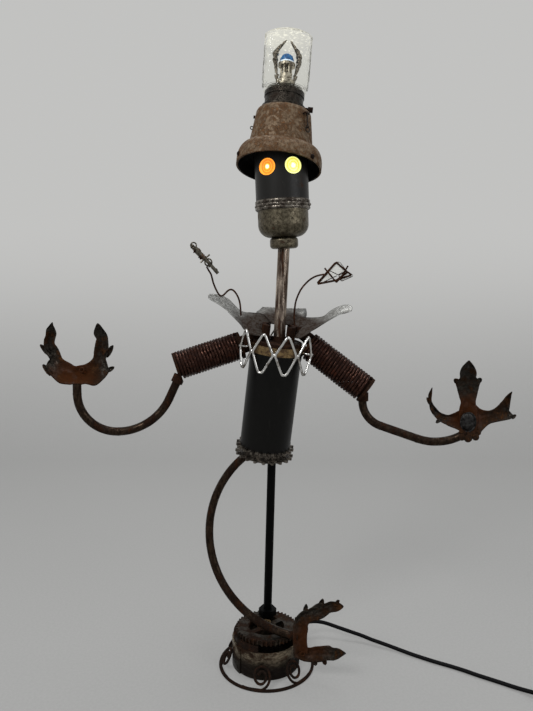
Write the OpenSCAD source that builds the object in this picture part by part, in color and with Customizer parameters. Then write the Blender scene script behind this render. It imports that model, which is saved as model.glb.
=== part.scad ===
// Desk lamp in the shape of a standing robot, welded together from steel tube, roller-chain
// sprockets, coil springs, cast leaf ornaments, a sheet-metal shade worn as a hat and a glass jar.
//
// Millimetres, +Z up. The origin is the centre of the wire base ring, on the table. The robot
// looks along -Y, and its left arm, in the viewer's sense, points to -X. Sub-assemblies stand on
// one another in tilted frames: base, post, torso, neck, head, hat and jar.

/* [Base] */
// Centreline radius of the wire base ring
ring_r = 70; // [64:1:80]
// Bar diameter of the base ring
ring_bar = 4.5; // [3.5:0.1:6]
// Width of the flat that the base ring stands on
ring_flat = 2.5; // [1.5:0.1:3]
// Wire diameter of the scrolls
scroll_wire = 3.6; // [3:0.1:4.5]
// Radius of the outer sweep of a scroll
scroll_big_r = 17; // [15:0.5:18]
// Radius over the top of a scroll
scroll_top_r = 9; // [8:0.5:10]
// Radius of the inner eye of a scroll
scroll_eye_r = 5.5; // [5:0.5:6]
// Outer radius of the base drum
drum_r = 50; // [47:1:52]
// Height of the base drum
drum_h = 40; // [34:1:46]
// Height of the drum's underside above the table
drum_lift = 4.5; // [3:0.5:6]
// Wall of the base drum
drum_wall = 2; // [1.5:0.1:3]
// Thickness of the sheet lapped round the drum's left side
lap_t = 2; // [1:0.25:3]
// Height of the splined ring between drum and gear
seat_h = 8.5; // [6:0.5:12]
// Radial thickness of the splined ring
seat_t = 4.8; // [4:0.2:6]

/* [Base gear] */
// Root radius of the base gear
gear_root_r = 43.5; // [42:0.5:45]
// Height of the gear's teeth
gear_tooth_h = 3; // [2:0.25:4]
// Number of teeth on the base gear
gear_teeth = 44; // [36:1:52]
// Thickness of the base gear
gear_t = 7; // [5:0.5:10]
// Inner radius of the gear's rim
gear_rim_r = 27; // [24:0.5:27.5]
// Radius of the gear's middle
gear_boss_r = 14; // [12:0.5:16]
// Width of the gear's spokes
spoke_w = 9; // [7:0.5:12]
// Shank radius of the hub stud
hub_shank_r = 5; // [4:0.5:6]
// Head radius of the hub stud
hub_head_r = 6.8; // [6.5:0.1:8]
// Height of the hub stud's head
hub_head_h = 6; // [4:0.5:8]

/* [Post] */
// Diameter of the post
post_d = 12.7; // [11:0.1:15]
// Bore of the post, for the wires
post_bore = 8; // [7:0.25:9]
// Length of the post along its axis
post_len = 254; // [230:1:280]
// Height of the nut at the post's foot
nut_h = 10; // [8:0.5:14]
// Width of that nut across its flats
nut_af = 24; // [22:0.5:26]

/* [Waist and torso] */
// Outer diameter of the torso tube
torso_d = 76.2; // [72:0.2:80]
// Wall of the torso tube and its rings
torso_wall = 3; // [2:0.25:4]
// Length of the torso tube
torso_len = 137; // [120:1:150]
// Height of the grey ring on the torso tube
grey_ring_h = 7.5; // [6:0.5:10]
// Height of the brass ring on top
brass_ring_h = 12.4; // [10:0.2:16]
// Tip radius of the waist sprockets
sprocket_tip_r = 44; // [43:0.5:46]
// Root radius of the waist sprockets
sprocket_root_r = 38; // [37:0.5:40]
// Teeth of a waist sprocket
sprocket_teeth = 20; // [18:1:24]
// Thickness of a waist sprocket
sprocket_t = 4; // [3:0.25:5]
// Gap between the two sprockets
sprocket_gap = 8; // [6:0.5:10]
// Height of the boss under the lower sprocket
waist_boss_h = 3; // [2:0.5:5]
// Radius of that boss
waist_boss_r = 23; // [21:0.5:24]

/* [Leg and foot] */
// Diameter of the leg rod
leg_d = 12; // [10:0.5:13]
// How far the leg rod bows out from a straight line between its ends
leg_bow = 92.8; // [84:0.1:100]
// Plate thickness of the hands and the foot
leaf_t = 4; // [3:0.25:5]
// Radius to which the hands and the foot are cupped
cup_r = 75; // [70:1:90]

/* [Arms] */
// Outer diameter of the arm springs
spring_d = 41.6; // [40:0.2:44]
// Wire diameter of the arm springs
spring_wire = 4.2; // [3.6:0.1:4.3]
// Length of the left spring
left_spring_len = 93.3; // [85:0.5:105]
// Length of the right spring
right_spring_len = 100.9; // [90:0.5:110]
// Distance between the turns of a spring
spring_pitch = 4.45; // [4.4:0.05:5]
// Diameter of the arm rods
arm_d = 12; // [10:0.5:13]
// Thickness of the plates at the springs' ends
end_plate_t = 4; // [3:0.5:6]
// Diameter of those plates
end_plate_d = 40; // [38:0.5:42]
// Length of the spigots inside the springs
spigot_len = 14; // [10:1:20]
// Diameter of the left shoulder stub
left_stub_d = 26; // [22:1:27]
// Diameter of the right shoulder stub
right_stub_d = 18; // [14:1:20]

/* [Neck and collar plate] */
// Thickness of the flange on the brass ring
flange_t = 4.5; // [3:0.5:6]
// Height of the two props under the collar plate
prop_h = 23.5; // [20:0.5:28]
// Outer radius of the props
prop_r = 25; // [23:0.5:27]
// Radial thickness of the props
prop_t = 6; // [4:0.5:8]
// Thickness of the collar plate
plate_t = 3; // [2:0.25:3.5]
// Radius of the collar plate's flat middle
dish_r = 34; // [31:0.5:36]
// Radius of its middle hole
dish_hole_r = 14.5; // [13:0.5:16]
// Reach of the side petals from the middle
petal_reach = 105; // [95:1:110]
// Reach of the rear petal from the middle
rear_reach = 86; // [80:1:92]
// Width of the side petals near their tips
petal_w = 28; // [24:1:32]
// Width of the rear petal
rear_w = 68; // [60:1:72]
// Outer diameter of the neck pipe
neck_d = 17.1; // [16:0.1:18.5]
// Bore of the neck pipe
neck_bore = 12.5; // [11:0.1:13]
// Length of the neck from the flange to the middle of its collar
neck_len = 142; // [130:1:160]

/* [Wire band] */
// Radius of the wire band
band_r = 54; // [52:0.5:56]
// Wire diameter of the band
band_wire = 2.6; // [2:0.1:3.2]
// Height of the band's diamonds
band_h = 57; // [50:1:60]
// Height of the band's middle above the foot of the brass ring
band_lift = 7.5; // [6:0.5:8]

/* [Head] */
// Outer diameter of the head tube
head_d = 76.2; // [72:0.2:78]
// Wall of the head tube
head_wall = 3; // [2:0.25:4]
// Length of the head tube
head_len = 74; // [68:1:76]
// Radius of the neck collar
collar_r = 20.5; // [19:0.5:22]
// Height of the neck collar
collar_h = 16; // [13:1:18]
// Radius of the chin casting
chin_r = 36.5; // [35:0.5:38]
// Height of the chin casting
chin_h = 38; // [34:1:42]
// Height of the weld between chin and head tube
weld_h = 14; // [10:1:18]
// Diameter of the eye lenses
lens_d = 22.4; // [20:0.2:24]
// Distance between the eyes
eye_gap = 36; // [32:0.5:38]
// Height of the eyes above the weld
eye_rise = 43; // [41:1:50]
// Clearance round an eye lens
lens_fit = 0.1; // [0.05:0.05:0.3]

/* [Hat] */
// Radius of the hat's brim
brim_r = 61; // [58:0.5:64]
// Radius at the seam over the brim
seam_r = 45.5; // [44.5:0.5:47]
// Height of the seam
seam_z = 31.5; // [29:0.5:34]
// Radius of the crown at its shoulder
crown_r = 39.5; // [38.5:0.5:41]
// Height of the crown
crown_z = 82; // [78:1:90]
// Radius of the crown's shoulder
crown_round = 9; // [7:0.5:10]
// Sheet thickness of the hat
hat_wall = 2.5; // [1.5:0.1:2.5]
// Slant of the brim's lower edge, in degrees
rim_slant = 7; // [4:0.5:10]
// Height of the brim's straight skirt
skirt_h = 8; // [7.5:0.5:10]
// Outer diameter of the threaded nipple through the hat
nipple_d = 10; // [9.5:0.1:12]
// Bore of the nipple
nipple_bore = 6; // [5.5:0.1:6.5]

/* [Jar and what stands in it] */
// Width of the square jar
jar_w = 66; // [62:1:70]
// Height of the jar
jar_h = 77; // [74:1:86]
// Corner radius of the jar
jar_corner = 14; // [11:0.5:17]
// Glass thickness of the jar
jar_wall = 2.5; // [2:0.1:3.2]
// Outer radius of the jar's mouth
mouth_r = 29.5; // [29:0.25:31]
// Radius of the jar collar
jar_collar_r = 28.5; // [28:0.25:30]
// Height of the jar collar
jar_collar_h = 24; // [20:1:28]
// Radius of the spigot inside the jar's mouth
spigot_r = 25.4; // [24:0.2:26]
// Radius of the blue dome
dome_r = 9.8; // [9:0.2:11]
// Height of the blue dome
dome_h = 14; // [12:0.5:16]

/* [Cord] */
// Diameter of the mains cord
cord_d = 6; // [5.5:0.5:6.5]
// Radius of the middle of the coil's turns
coil_r = 33; // [30:1:36]
// Turns lying side by side in the coil
coil_columns = 3; // [3:1:3]
// Layers of turns in the coil
coil_layers = 2; // [2:1:2]
// Length of the strain relief outside the drum
gland_len = 24; // [20:1:30]
// Length of the in-line switch
switch_len = 58; // [50:1:60]
// Width of the in-line switch
switch_w = 26; // [22:1:28]
// Height of the in-line switch
switch_h = 17; // [15:0.5:20]

/* [Hidden] */
$fn = 48;

// A frame is [origin, pitch about X, lean about Y].
function turn(a, b, p) =
    let (y = p.y * cos(a) - p.z * sin(a), z = p.y * sin(a) + p.z * cos(a))
    [p.x * cos(b) + z * sin(b), y, z * cos(b) - p.x * sin(b)];
function put(f, p) = f[0] + turn(f[1], f[2], p);
function unit(v) = v / norm(v);

// Base, from the table up
ring_z = sqrt(pow(ring_bar / 2, 2) - pow(ring_flat / 2, 2));
drum_top = drum_lift + drum_h;
seat_z = drum_top;
gear_z = seat_z + seat_h;
gear_top = gear_z + gear_t;

// Post, on the gear's rim behind the hub
post_foot = [1.5, 34, gear_top];
post_f = [post_foot, 1.64, 1.5];

// Torso: its local zero is the sprockets' upper face less the tube's seat
torso_pitch = 7.5;
torso_lean = 6.5;
post_in_torso = [12.5, -0.5];
sprocket_z = -6 - sprocket_t;
lower_sprocket_z = sprocket_z - sprocket_gap - sprocket_t;
waist_z = lower_sprocket_z - waist_boss_h;
torso_f = [put(post_f, [0, 0, post_len])
           - turn(torso_pitch, torso_lean, [post_in_torso.x, post_in_torso.y, waist_z]),
           torso_pitch, torso_lean];
tube_z = sprocket_z + sprocket_t;
grey_z = tube_z + torso_len;
brass_z = grey_z + grey_ring_h;
flange_z = brass_z + brass_ring_h;
flange_top = flange_z + flange_t;
plate_z = flange_top + prop_h;

// Neck and head
neck_f = [put(torso_f, [2.7, 1.4, flange_top]), -0.42, 2.75];
head_f = [put(neck_f, [0, 0, neck_len]), 3, -2.4];
chin_z = collar_h / 2;
weld_z = chin_z + chin_h;
head_z = weld_z + weld_h;
head_top = head_z + head_len;
eye_z = head_z + eye_rise;
eye_yaw = -2.2;
eye_mid = -1.4;
eye_xs = [eye_mid - eye_gap / 2, eye_mid + eye_gap / 2];
eye_depth = 20;

// Hat and jar
hat_f = [put(head_f, [-3.9, -0.5, head_top - 29.5]), -2.5, 5.5];
jar_f = [put(hat_f, [-1.2, 0, crown_z]), -2.5, 4.3];
jar_z = jar_collar_h;
cap_t = 3;

// Arms: vertical planes that run outward and forward from the torso's shoulders
arm_root = put(torso_f, [-0.6, 9.8, flange_z]);
arm_turn = 9.5;
left_spring_at = [56, -4.4];
left_slope = 17.5;
right_spring_at = [49.5, -5.6];
right_slope = 37.35;
left_arm_path = [[0, 37], [80, 65], [56, 90], [0, 15]];
right_arm_path = [[0, 12], [38, 72], [0, 55], [75, 48], [0, 9]];
left_arm_drop = [2, -14];
right_arm_drop = [1, -6];
left_arm_turn = -65;
right_arm_turn = -90;

// Leg: an arc of the rod from the sprocket's underside to the foot
leg_top = put(torso_f, [-27.7, -15.8, lower_sprocket_z]);
leg_end = [46, -36, gear_top + 3];
leg_out = [-1, 0.2, 0.1];
leg_half = norm(leg_end - leg_top) / 2;
leg_bend_r = (leg_half * leg_half + leg_bow * leg_bow) / (2 * leg_bow);
foot_at = [84, leg_end.y - leg_d / 2 - 0.6, gear_top + 8];

// Cord: the free route from the gland, past the switch, to the coil
cord_route = [
    [49.5, 55, 28], [58, 64, 28], [71, 71, 27], [85, 74, 25.5], [99, 73, 23], [113, 69, 20],
    [127, 65, 17], [141, 61, 14], [155, 56, 11.5], [169, 49, 9], [183, 42, 7.5], [197, 34.5, 6],
    [211, 26, 4.8], [225, 17, 4], [239, 8, 3.8], [253, -1, 3.8], [267, -9, 3.8],
    [281, -17, 3.8], [295, -26, 3.8], [309, -36, 3.8], [323, -45, 3.8], [337, -54, 3.8],
    [350, -63, 4], [362, -72, 5], [373, -80.5, 6.5], [384, -89, 7.5], [398, -100, 7.5],
    [412, -111, 7.2], [422, -119, 6.6], [428, -123.7, 6], [436, -130, 5],
    [445, -137.2, 4], [453.6, -144, 3.8]
];
gland_turn = 48;
gland_z = 28;
coil_at = [477.8, -113.4];
coil_in = coil_r - coil_columns * cord_d / 2;
coil_out = coil_r + coil_columns * cord_d / 2;
tie_t = 0.8;
coil_h = coil_layers * cord_d;
switch_at = [405, -105.5];
switch_turn = -38.4;
plug_turn = 60;
plug_body = [34, 24, 15];

// Small round fits and standard gaps
bore_fit = 0.05;
seam = 0.02;

module on(f) {
    translate(f[0]) rotate([f[1], f[2], 0]) children();
}

module at_arm(side) {
    translate(arm_root) rotate([0, 0, side > 0 ? -arm_turn : 180 + arm_turn]) children();
}

// Local +Z along the spring's axis, from its inner to its outer end
module at_spring(side) {
    at = side > 0 ? right_spring_at : left_spring_at;
    slope = side > 0 ? right_slope : left_slope;
    at_arm(side) translate([at.x, 0, at.y]) rotate([0, 90 + slope, 0]) children();
}

module ring_tube(r_in, r_out, h) {
    difference() {
        cylinder(r = r_out, h = h);
        translate([0, 0, -1]) cylinder(r = r_in, h = h + 2);
    }
}

module toothed_disc(root, tip, teeth, foot, crest, h) {
    linear_extrude(h) {
        circle(r = root);
        for (i = [0:teeth - 1])
            rotate(i * 360 / teeth)
                polygon([[root - 1, -foot / 2], [tip, -crest / 2], [tip, crest / 2], [root - 1, foot / 2]]);
    }
}

// A round bar that starts at the origin along +X and bends in the XZ plane. Each entry of path is
// [bend radius, degrees], where a negative radius turns down, or [0, length] for a straight run.
// A slight knuckle is left at every bend.
module bent_bar(path, d, i = 0) {
    if (i > 0 && i < len(path)) sphere(d = d + 0.5);
    if (i < len(path)) {
        r = path[i][0];
        t = path[i][1];
        s = sign(r);
        if (r == 0) {
            rotate([0, 90, 0]) cylinder(d = d, h = t);
            translate([t, 0, 0]) bent_bar(path, d, i + 1);
        } else {
            translate([0, 0, r]) rotate([90, 0, 0]) rotate([0, 0, s > 0 ? -90 : 90 - t])
                rotate_extrude(angle = t) translate([abs(r), 0]) circle(d = d);
            translate([abs(r) * sin(t), 0, r * (1 - cos(t))]) rotate([0, -s * t, 0])
                bent_bar(path, d, i + 1);
        }
    }
}

// Where such a bar ends: [x, z, heading]
function bar_end(path, x, z, h, i = 0) =
    i >= len(path) ? [x, z, h] :
    let (r = path[i][0], t = path[i][1], h2 = h + sign(r) * t)
    r == 0 ? bar_end(path, x + t * cos(h), z + t * sin(h), h, i + 1)
           : bar_end(path, x + r * (sin(h2) - sin(h)), z - r * (cos(h2) - cos(h)), h2, i + 1);

// A wire swept along points, with rings square to the route; up is never along the wire
function swept_ring(p, t, up, d, sides) =
    let (a = unit(cross(t, up)), b = cross(a, t))
    [for (k = [0:sides - 1]) p + d / 2 * (cos(360 * k / sides) * a + sin(360 * k / sides) * b)];
module swept_wire(p, d, sides, up, closed = false) {
    n = len(p);
    last = n - 1;
    ahead = [for (i = [0:last]) closed ? (i + 1) % n : min(i + 1, last)];
    behind = [for (i = [0:last]) closed ? (i + last) % n : max(i - 1, 0)];
    rings = [for (i = [0:last]) swept_ring(p[i], unit(p[ahead[i]] - p[behind[i]]), up, d, sides)];
    sides_list = [for (i = [0:closed ? last : last - 1]) for (k = [0:sides - 1])
        let (j = (i + 1) % n, m = (k + 1) % sides)
        [i * sides + k, i * sides + m, j * sides + m, j * sides + k]];
    ends = closed ? [] : [[for (k = [sides - 1:-1:0]) k], [for (k = [0:sides - 1]) last * sides + k]];
    polyhedron(points = [for (r = rings) for (q = r) q], faces = concat(sides_list, ends), convexity = 4);
}

// Points of a smooth curve through p, with steps points to each span
function curve_point(p, i, u) =
    let (n = len(p) - 1, a = p[max(i - 1, 0)], b = p[i], c = p[min(i + 1, n)], d = p[min(i + 2, n)])
    0.5 * (2 * b + (c - a) * u + (2 * a - 5 * b + 4 * c - d) * u * u + (3 * b - 3 * c + d - a) * u * u * u);
function smooth_route(p, steps) =
    concat([for (i = [0:len(p) - 2]) for (k = [0:steps - 1]) curve_point(p, i, k / steps)], [p[len(p) - 1]]);

// ---------------------------------------------------------------- base

module base_ring() {
    color("#3a2a22") difference() {
        translate([0, 0, ring_z]) rotate_extrude() translate([ring_r, 0]) circle(d = ring_bar);
        translate([-2 * ring_r, -2 * ring_r, -ring_bar]) cube([4 * ring_r, 4 * ring_r, ring_bar]);
    }
}

// Scrolls stand on the ring in mirrored pairs and lean in against the drum.
scroll_turns = [-97, -49, 23, 71, 143, 191];
scroll_foot_z = ring_z + ring_bar / 2 - 0.4;
scroll_lean = atan((ring_r - drum_r - scroll_wire / 2 - 0.2) / (scroll_big_r + scroll_top_r + 3));
module base_scrolls() {
    $fn = 24;
    path = [[-scroll_big_r, 105], [-scroll_top_r, 170], [-scroll_eye_r, 170]];
    color("#2c201b") for (i = [0:5])
        rotate([0, 0, scroll_turns[i] - 90]) mirror([i % 2, 0, 0])
            translate([0, ring_r, scroll_foot_z]) rotate([scroll_lean, 0, 0])
                rotate([0, -155, 0]) bent_bar(path, scroll_wire);
}

module base_drum() {
    rib_h = 3;
    color("#7a6a55") difference() {
        union() {
            translate([0, 0, drum_lift]) cylinder(r = drum_r, h = drum_h);
            translate([0, 0, drum_top - rib_h]) cylinder(r = drum_r + 0.8, h = rib_h);
            translate([0, 0, drum_lift]) rotate([0, 0, 101]) rotate_extrude(angle = 120)
                translate([drum_r - 0.5, 0]) square([lap_t + 0.5, drum_h]);
        }
        translate([0, 0, drum_lift + drum_wall]) cylinder(r = drum_r - drum_wall, h = drum_h);
        rotate([0, 0, gland_turn]) translate([drum_r - 8, 0, gland_z]) rotate([0, 90, 0])
            cylinder(d = gland_tail_d + 2 * bore_fit, h = 16);
    }
}

module gear_seat() {
    color("#4a4038") translate([0, 0, seat_z]) rotate([0, 0, 60])
        rotate_extrude(angle = 195) translate([drum_r - seat_t, 0]) square([seat_t - 0.2, seat_h]);
}

module post_hole(d) {
    on(post_f) translate([0, 0, -gear_t - 10]) cylinder(d = d, h = gear_t + 30);
}

module base_gear() {
    color("#5a4c3e") difference() {
        translate([0, 0, gear_z])
            toothed_disc(gear_root_r, gear_root_r + gear_tooth_h, gear_teeth, 3.6, 1.8, gear_t);
        translate([0, 0, gear_z - 1]) linear_extrude(gear_t + 2) difference() {
            circle(r = gear_rim_r);
            circle(r = gear_boss_r);
            for (a = [40, 130])
                rotate(a) square([2 * gear_rim_r + 2, spoke_w], center = true);
        }
        translate([0, 0, gear_z - 1]) cylinder(r = hub_shank_r + bore_fit, h = gear_t + 2);
        post_hole(post_bore);
    }
}

module gear_hub() {
    color("#8a6a3a") {
        translate([0, 0, gear_z]) cylinder(r = hub_shank_r, h = gear_t);
        translate([0, 0, gear_top]) cylinder(r = hub_head_r, h = hub_head_h);
    }
}

// Everything below the plane of the gear's top
module under_gear_top() {
    translate([-200, -200, gear_top - 60]) cube([400, 400, 60]);
}

module over_waist(z) {
    on(torso_f) translate([-100, -100, z]) cube([200, 200, 80]);
}

module post() {
    color("#15130f") difference() {
        on(post_f) translate([0, 0, -4]) ring_tube(post_bore / 2, post_d / 2, post_len + 12);
        under_gear_top();
        over_waist(waist_z);
    }
}

module post_nut() {
    color("#4a4038") difference() {
        on(post_f) translate([0, 0, -4]) cylinder(d = nut_af / cos(30), h = nut_h + 4, $fn = 6);
        on(post_f) translate([0, 0, -6]) cylinder(d = post_d + 2 * bore_fit, h = nut_h + 12);
        under_gear_top();
    }
}

gland_tail_d = 9;
module cord_gland() {
    flange_t = 4;
    nut_t = 4;
    color("#1b1b1b") difference() {
        rotate([0, 0, gland_turn]) translate([drum_r, 0, gland_z]) rotate([0, 90, 0]) {
            cylinder(d = 16, h = flange_t);
            translate([0, 0, -1]) cylinder(d = 12, h = 1);
            translate([0, 0, flange_t]) cylinder(d1 = 12, d2 = cord_d + 2, h = gland_len - flange_t);
            translate([0, 0, -drum_wall - nut_t]) cylinder(d = gland_tail_d, h = nut_t + drum_wall);
            translate([0, 0, -drum_wall - nut_t]) cylinder(d = 13, h = nut_t - 0.4);
        }
        difference() {
            translate([0, 0, gland_z - 12]) cylinder(r = drum_r, h = 24);
            translate([0, 0, gland_z - 13]) cylinder(r = drum_r - drum_wall, h = 26);
            rotate([0, 0, gland_turn]) translate([drum_r - 8, 0, gland_z]) rotate([0, 90, 0])
                cylinder(d = gland_tail_d, h = 16);
        }
        rotate([0, 0, gland_turn]) translate([0, 0, gland_z]) rotate([0, 90, 0])
            translate([0, 0, drum_r - 8]) cylinder(d = wire_d + 0.6, h = 8 + gland_len - 3);
    }
}

// ---------------------------------------------------------------- waist and torso

module waist_hole() {
    translate([post_in_torso.x, post_in_torso.y, waist_z - 1])
        cylinder(d = post_bore, h = -waist_z);
}

module waist_teeth() {
    toothed_disc(sprocket_root_r, sprocket_tip_r, sprocket_teeth, 7.5, 3, sprocket_t);
}

module waist_sprocket_lower() {
    color("#4b4137") on(torso_f) difference() {
        union() {
            translate([0, 0, waist_z]) cylinder(r = waist_boss_r, h = waist_boss_h);
            translate([0, 0, lower_sprocket_z]) waist_teeth();
        }
        waist_hole();
    }
}

module waist_sprocket_upper() {
    color("#4b4137") on(torso_f) difference() {
        union() {
            translate([0, 0, lower_sprocket_z + sprocket_t])
                cylinder(r = sprocket_root_r - 5, h = sprocket_gap);
            translate([0, 0, sprocket_z]) rotate([0, 0, 180 / sprocket_teeth]) waist_teeth();
        }
        waist_hole();
    }
}

module torso_section(z, h, grow) {
    on(torso_f) translate([0, 0, z]) ring_tube(torso_d / 2 - torso_wall, torso_d / 2 + grow, h);
}

module torso_tube() {
    color("#1d1e1b") torso_section(tube_z, torso_len, 0);
}

module torso_ring() {
    color("#6d6a60") torso_section(grey_z, grey_ring_h, 0.4);
}

module brass_ring() {
    color("#8d6b3c") torso_section(brass_z, brass_ring_h, 0);
}

// One diamond of the band, a closed wire loop bent round the torso
module band_diamond(mid) {
    half = 18;
    knots = [[0, 1], [0.09, 0.93], [0.5, 0.5], [0.93, 0.09], [1, 0], [0.93, -0.09], [0.5, -0.5],
             [0.09, -0.93], [0, -1], [-0.09, -0.93], [-0.5, -0.5], [-0.93, -0.09], [-1, 0],
             [-0.93, 0.09], [-0.5, 0.5], [-0.09, 0.93]];
    loop = [for (k = knots)
        let (a = mid + half * k.x)
        [band_r * sin(a), -band_r * cos(a), (band_h - band_wire) / 2 * k.y]];
    swept_wire(loop, band_wire, 6, [sin(mid), -cos(mid), 0], true);
}

// The band stands off the torso, forward of it, and leaves room for the shoulders.
band_mids = [-58, -22, 14, 50, 143, 178.5, 213];
band_pins = [-76, 68, 125, 160.75, 231];
band_shift = [0, -9];
band_z = brass_z + band_lift;
module wire_band() {
    color("#b9b6ae") on(torso_f) {
        translate([band_shift.x, band_shift.y, band_z]) for (m = band_mids) band_diamond(m);
        difference() {
            for (a = band_pins)
                translate([band_shift.x, band_shift.y, band_z]) rotate([0, 0, a])
                    rotate([90, 0, 0]) translate([0, 0, 18]) cylinder(d = 2.6, h = band_r - 18);
            translate([0, 0, band_z - 10]) cylinder(r = torso_d / 2 + 0.4, h = 20);
        }
    }
}

// A petal's underside from the dish's edge outward, as [x, z, heading]: up on one bend, out over another
function petal_line(run, rise, over, up_r, bend_r) =
    let (x = up_r * sin(rise) + run * cos(rise) + bend_r * sin(rise))
    let (z = up_r * (1 - cos(rise)) + run * sin(rise) - bend_r * cos(rise))
    concat([for (k = [0:6]) let (h = rise * k / 6) [up_r * sin(h), up_r * (1 - cos(h)), h]],
           [for (k = [0:7]) let (h = rise - (rise + over) * k / 7)
               [x - bend_r * sin(h), z + bend_r * cos(h), h]]);

module petal(reach, w, tip_r, root_w) {
    rise = 41;
    over = 8;
    up_r = 55;
    bend_r = 26;
    run = (reach - dish_r - up_r * sin(rise) - bend_r * (sin(rise) + sin(over))) / cos(rise);
    under = petal_line(run, rise, over, up_r, bend_r);
    last = len(under) - 1;
    top = [for (k = [last:-1:0]) [under[k].x, under[k].y] + plate_t * [-sin(under[k].z), cos(under[k].z)]];
    tip = w / 2 - tip_r;
    plan = concat([[0, -root_w / 2], [reach - tip_r, -w / 2]],
                  [for (t = [-75:15:-15]) [reach - tip_r + tip_r * cos(t), tip_r * sin(t) - tip]],
                  [for (t = [15:15:75]) [reach - tip_r + tip_r * cos(t), tip_r * sin(t) + tip]],
                  [[reach - tip_r, w / 2], [0, root_w / 2]]);
    intersection() {
        translate([dish_r, root_w, 0]) rotate([90, 0, 0]) linear_extrude(2 * root_w)
            polygon(concat([[-14, 0]], [for (p = under) [p.x, p.y]], top, [[-14, plate_t]]));
        translate([0, 0, -1]) linear_extrude(80) polygon(plan);
    }
}

module collar_plate() {
    color("#6f7271") on(torso_f) translate([0, 0, plate_z]) difference() {
        union() {
            cylinder(r = dish_r, h = plate_t);
            petal(petal_reach, petal_w, petal_w / 2, 46);
            rotate([0, 0, 180]) petal(petal_reach, petal_w, petal_w / 2, 46);
            rotate([0, 0, 90]) petal(rear_reach, rear_w, 7, 50);
        }
        translate([0, 0, -1]) cylinder(r = dish_hole_r, h = plate_t + 2);
    }
}

// The flange closes the brass ring; its two props carry the collar plate and leave the neck free.
module neck_flange() {
    prop_arc = 100;
    color("#4a2f22") difference() {
        union() {
            on(torso_f) {
                translate([0, 0, flange_z]) cylinder(r = torso_d / 2 - 1.5, h = flange_t);
                for (a = [0, 180])
                    translate([0, 0, flange_top]) rotate([0, 0, a - prop_arc / 2])
                        rotate_extrude(angle = prop_arc) translate([prop_r - prop_t, 0])
                            square([prop_t, prop_h]);
            }
            on(neck_f) difference() {
                translate([0, 0, -3]) cylinder(d = neck_d + 8, h = 9);
                translate([0, 0, -4]) cylinder(d = neck_d + 2 * bore_fit, h = 16);
            }
        }
        on(torso_f) translate([-60, -60, flange_z - 20]) cube([120, 120, 20]);
        on(neck_f) translate([0, 0, -12]) cylinder(d = neck_bore - 3, h = 14);
    }
}

// What the shoulder stubs must stay clear of
module torso_envelope() {
    on(torso_f) {
        translate([0, 0, 40]) cylinder(r = torso_d / 2 + 0.4 + seam, h = flange_top + seam - 40);
        translate([0, 0, flange_top]) cylinder(r = prop_r + seam, h = prop_h + 30);
        translate([0, 0, plate_z]) cylinder(r = 90, h = 30);
    }
}

module shoulder(side, d, rise) {
    spigot_d = spring_d - 2 * spring_wire - 1.2;
    difference() {
        at_spring(side) {
            translate([0, 0, -end_plate_t]) cylinder(d = end_plate_d, h = end_plate_t);
            cylinder(d = spigot_d, h = spigot_len);
            translate([-rise, 0, -46]) cylinder(d = d, h = 46);
        }
        torso_envelope();
        at_arm(side) translate([-80, -60, -80]) cube([80, 120, 160]);
    }
}

module left_shoulder() {
    color("#26211d") shoulder(-1, left_stub_d, 0);
}

module right_shoulder() {
    color("#26211d") shoulder(1, right_stub_d, 8);
}

// ---------------------------------------------------------------- arms

module coil_spring(length) {
    per_turn = 12;
    turns = floor((length - spring_wire) / spring_pitch);
    rise = (length - spring_wire) / turns;
    r = (spring_d - spring_wire) / 2;
    helix = [for (i = [0:turns * per_turn])
        let (a = 360 * i / per_turn) [r * cos(a), r * sin(a), spring_wire / 2 + rise * i / per_turn]];
    swept_wire(helix, spring_wire, 6, [0, 0, 1]);
}

module left_spring() {
    color("#3c1f16") at_spring(-1) coil_spring(left_spring_len);
}

module right_spring() {
    color("#3c1f16") at_spring(1) coil_spring(right_spring_len);
}

module spring_cap(side, length, drop, heading) {
    spigot_d = spring_d - 2 * spring_wire - 1.2;
    slope = side > 0 ? right_slope : left_slope;
    at_spring(side) translate([0, 0, length]) {
        cylinder(d = end_plate_d, h = end_plate_t);
        translate([0, 0, -spigot_len]) cylinder(d = spigot_d, h = spigot_len);
        difference() {
            translate([-drop.y, 0, drop.x]) rotate([0, -90 - slope - heading, 0]) rotate([0, 90, 0])
                cylinder(d = arm_d + 5, h = 12);
            translate([0, 0, -20]) cylinder(d = spring_d + 12, h = 20);
        }
    }
}

module left_spring_cap() {
    color("#3a2a22") difference() {
        spring_cap(-1, left_spring_len, left_arm_drop, left_arm_turn);
        left_bar(seam);
    }
}

module right_spring_cap() {
    color("#3a2a22") difference() {
        spring_cap(1, right_spring_len, right_arm_drop, right_arm_turn);
        right_bar(seam);
    }
}

// An arm's rod starts inside its spring's end plate and bends in the arm's plane.
function arm_start(at, slope, length, drop) =
    [at.x + (length + drop.x) * cos(slope) + drop.y * sin(slope),
     at.y - (length + drop.x) * sin(slope) + drop.y * cos(slope)];
left_arm_at = arm_start(left_spring_at, left_slope, left_spring_len, left_arm_drop);
right_arm_at = arm_start(right_spring_at, right_slope, right_spring_len, right_arm_drop);
left_arm_end = bar_end(left_arm_path, left_arm_at.x, left_arm_at.y, left_arm_turn);
right_arm_end = bar_end(right_arm_path, right_arm_at.x, right_arm_at.y, right_arm_turn);

module left_bar(grow) {
    at_arm(-1) translate([left_arm_at.x, 0, left_arm_at.y]) rotate([0, -left_arm_turn, 0])
        bent_bar(left_arm_path, arm_d + 2 * grow);
}

module right_bar(grow) {
    at_arm(1) translate([right_arm_at.x, 0, right_arm_at.y]) rotate([0, -right_arm_turn, 0])
        bent_bar(right_arm_path, arm_d + 2 * grow);
}

module left_forearm() {
    color("#4a2a1e") difference() {
        left_bar(0);
        at_spring(-1) cylinder(d = spring_d + 12, h = left_spring_len);
    }
}

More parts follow.
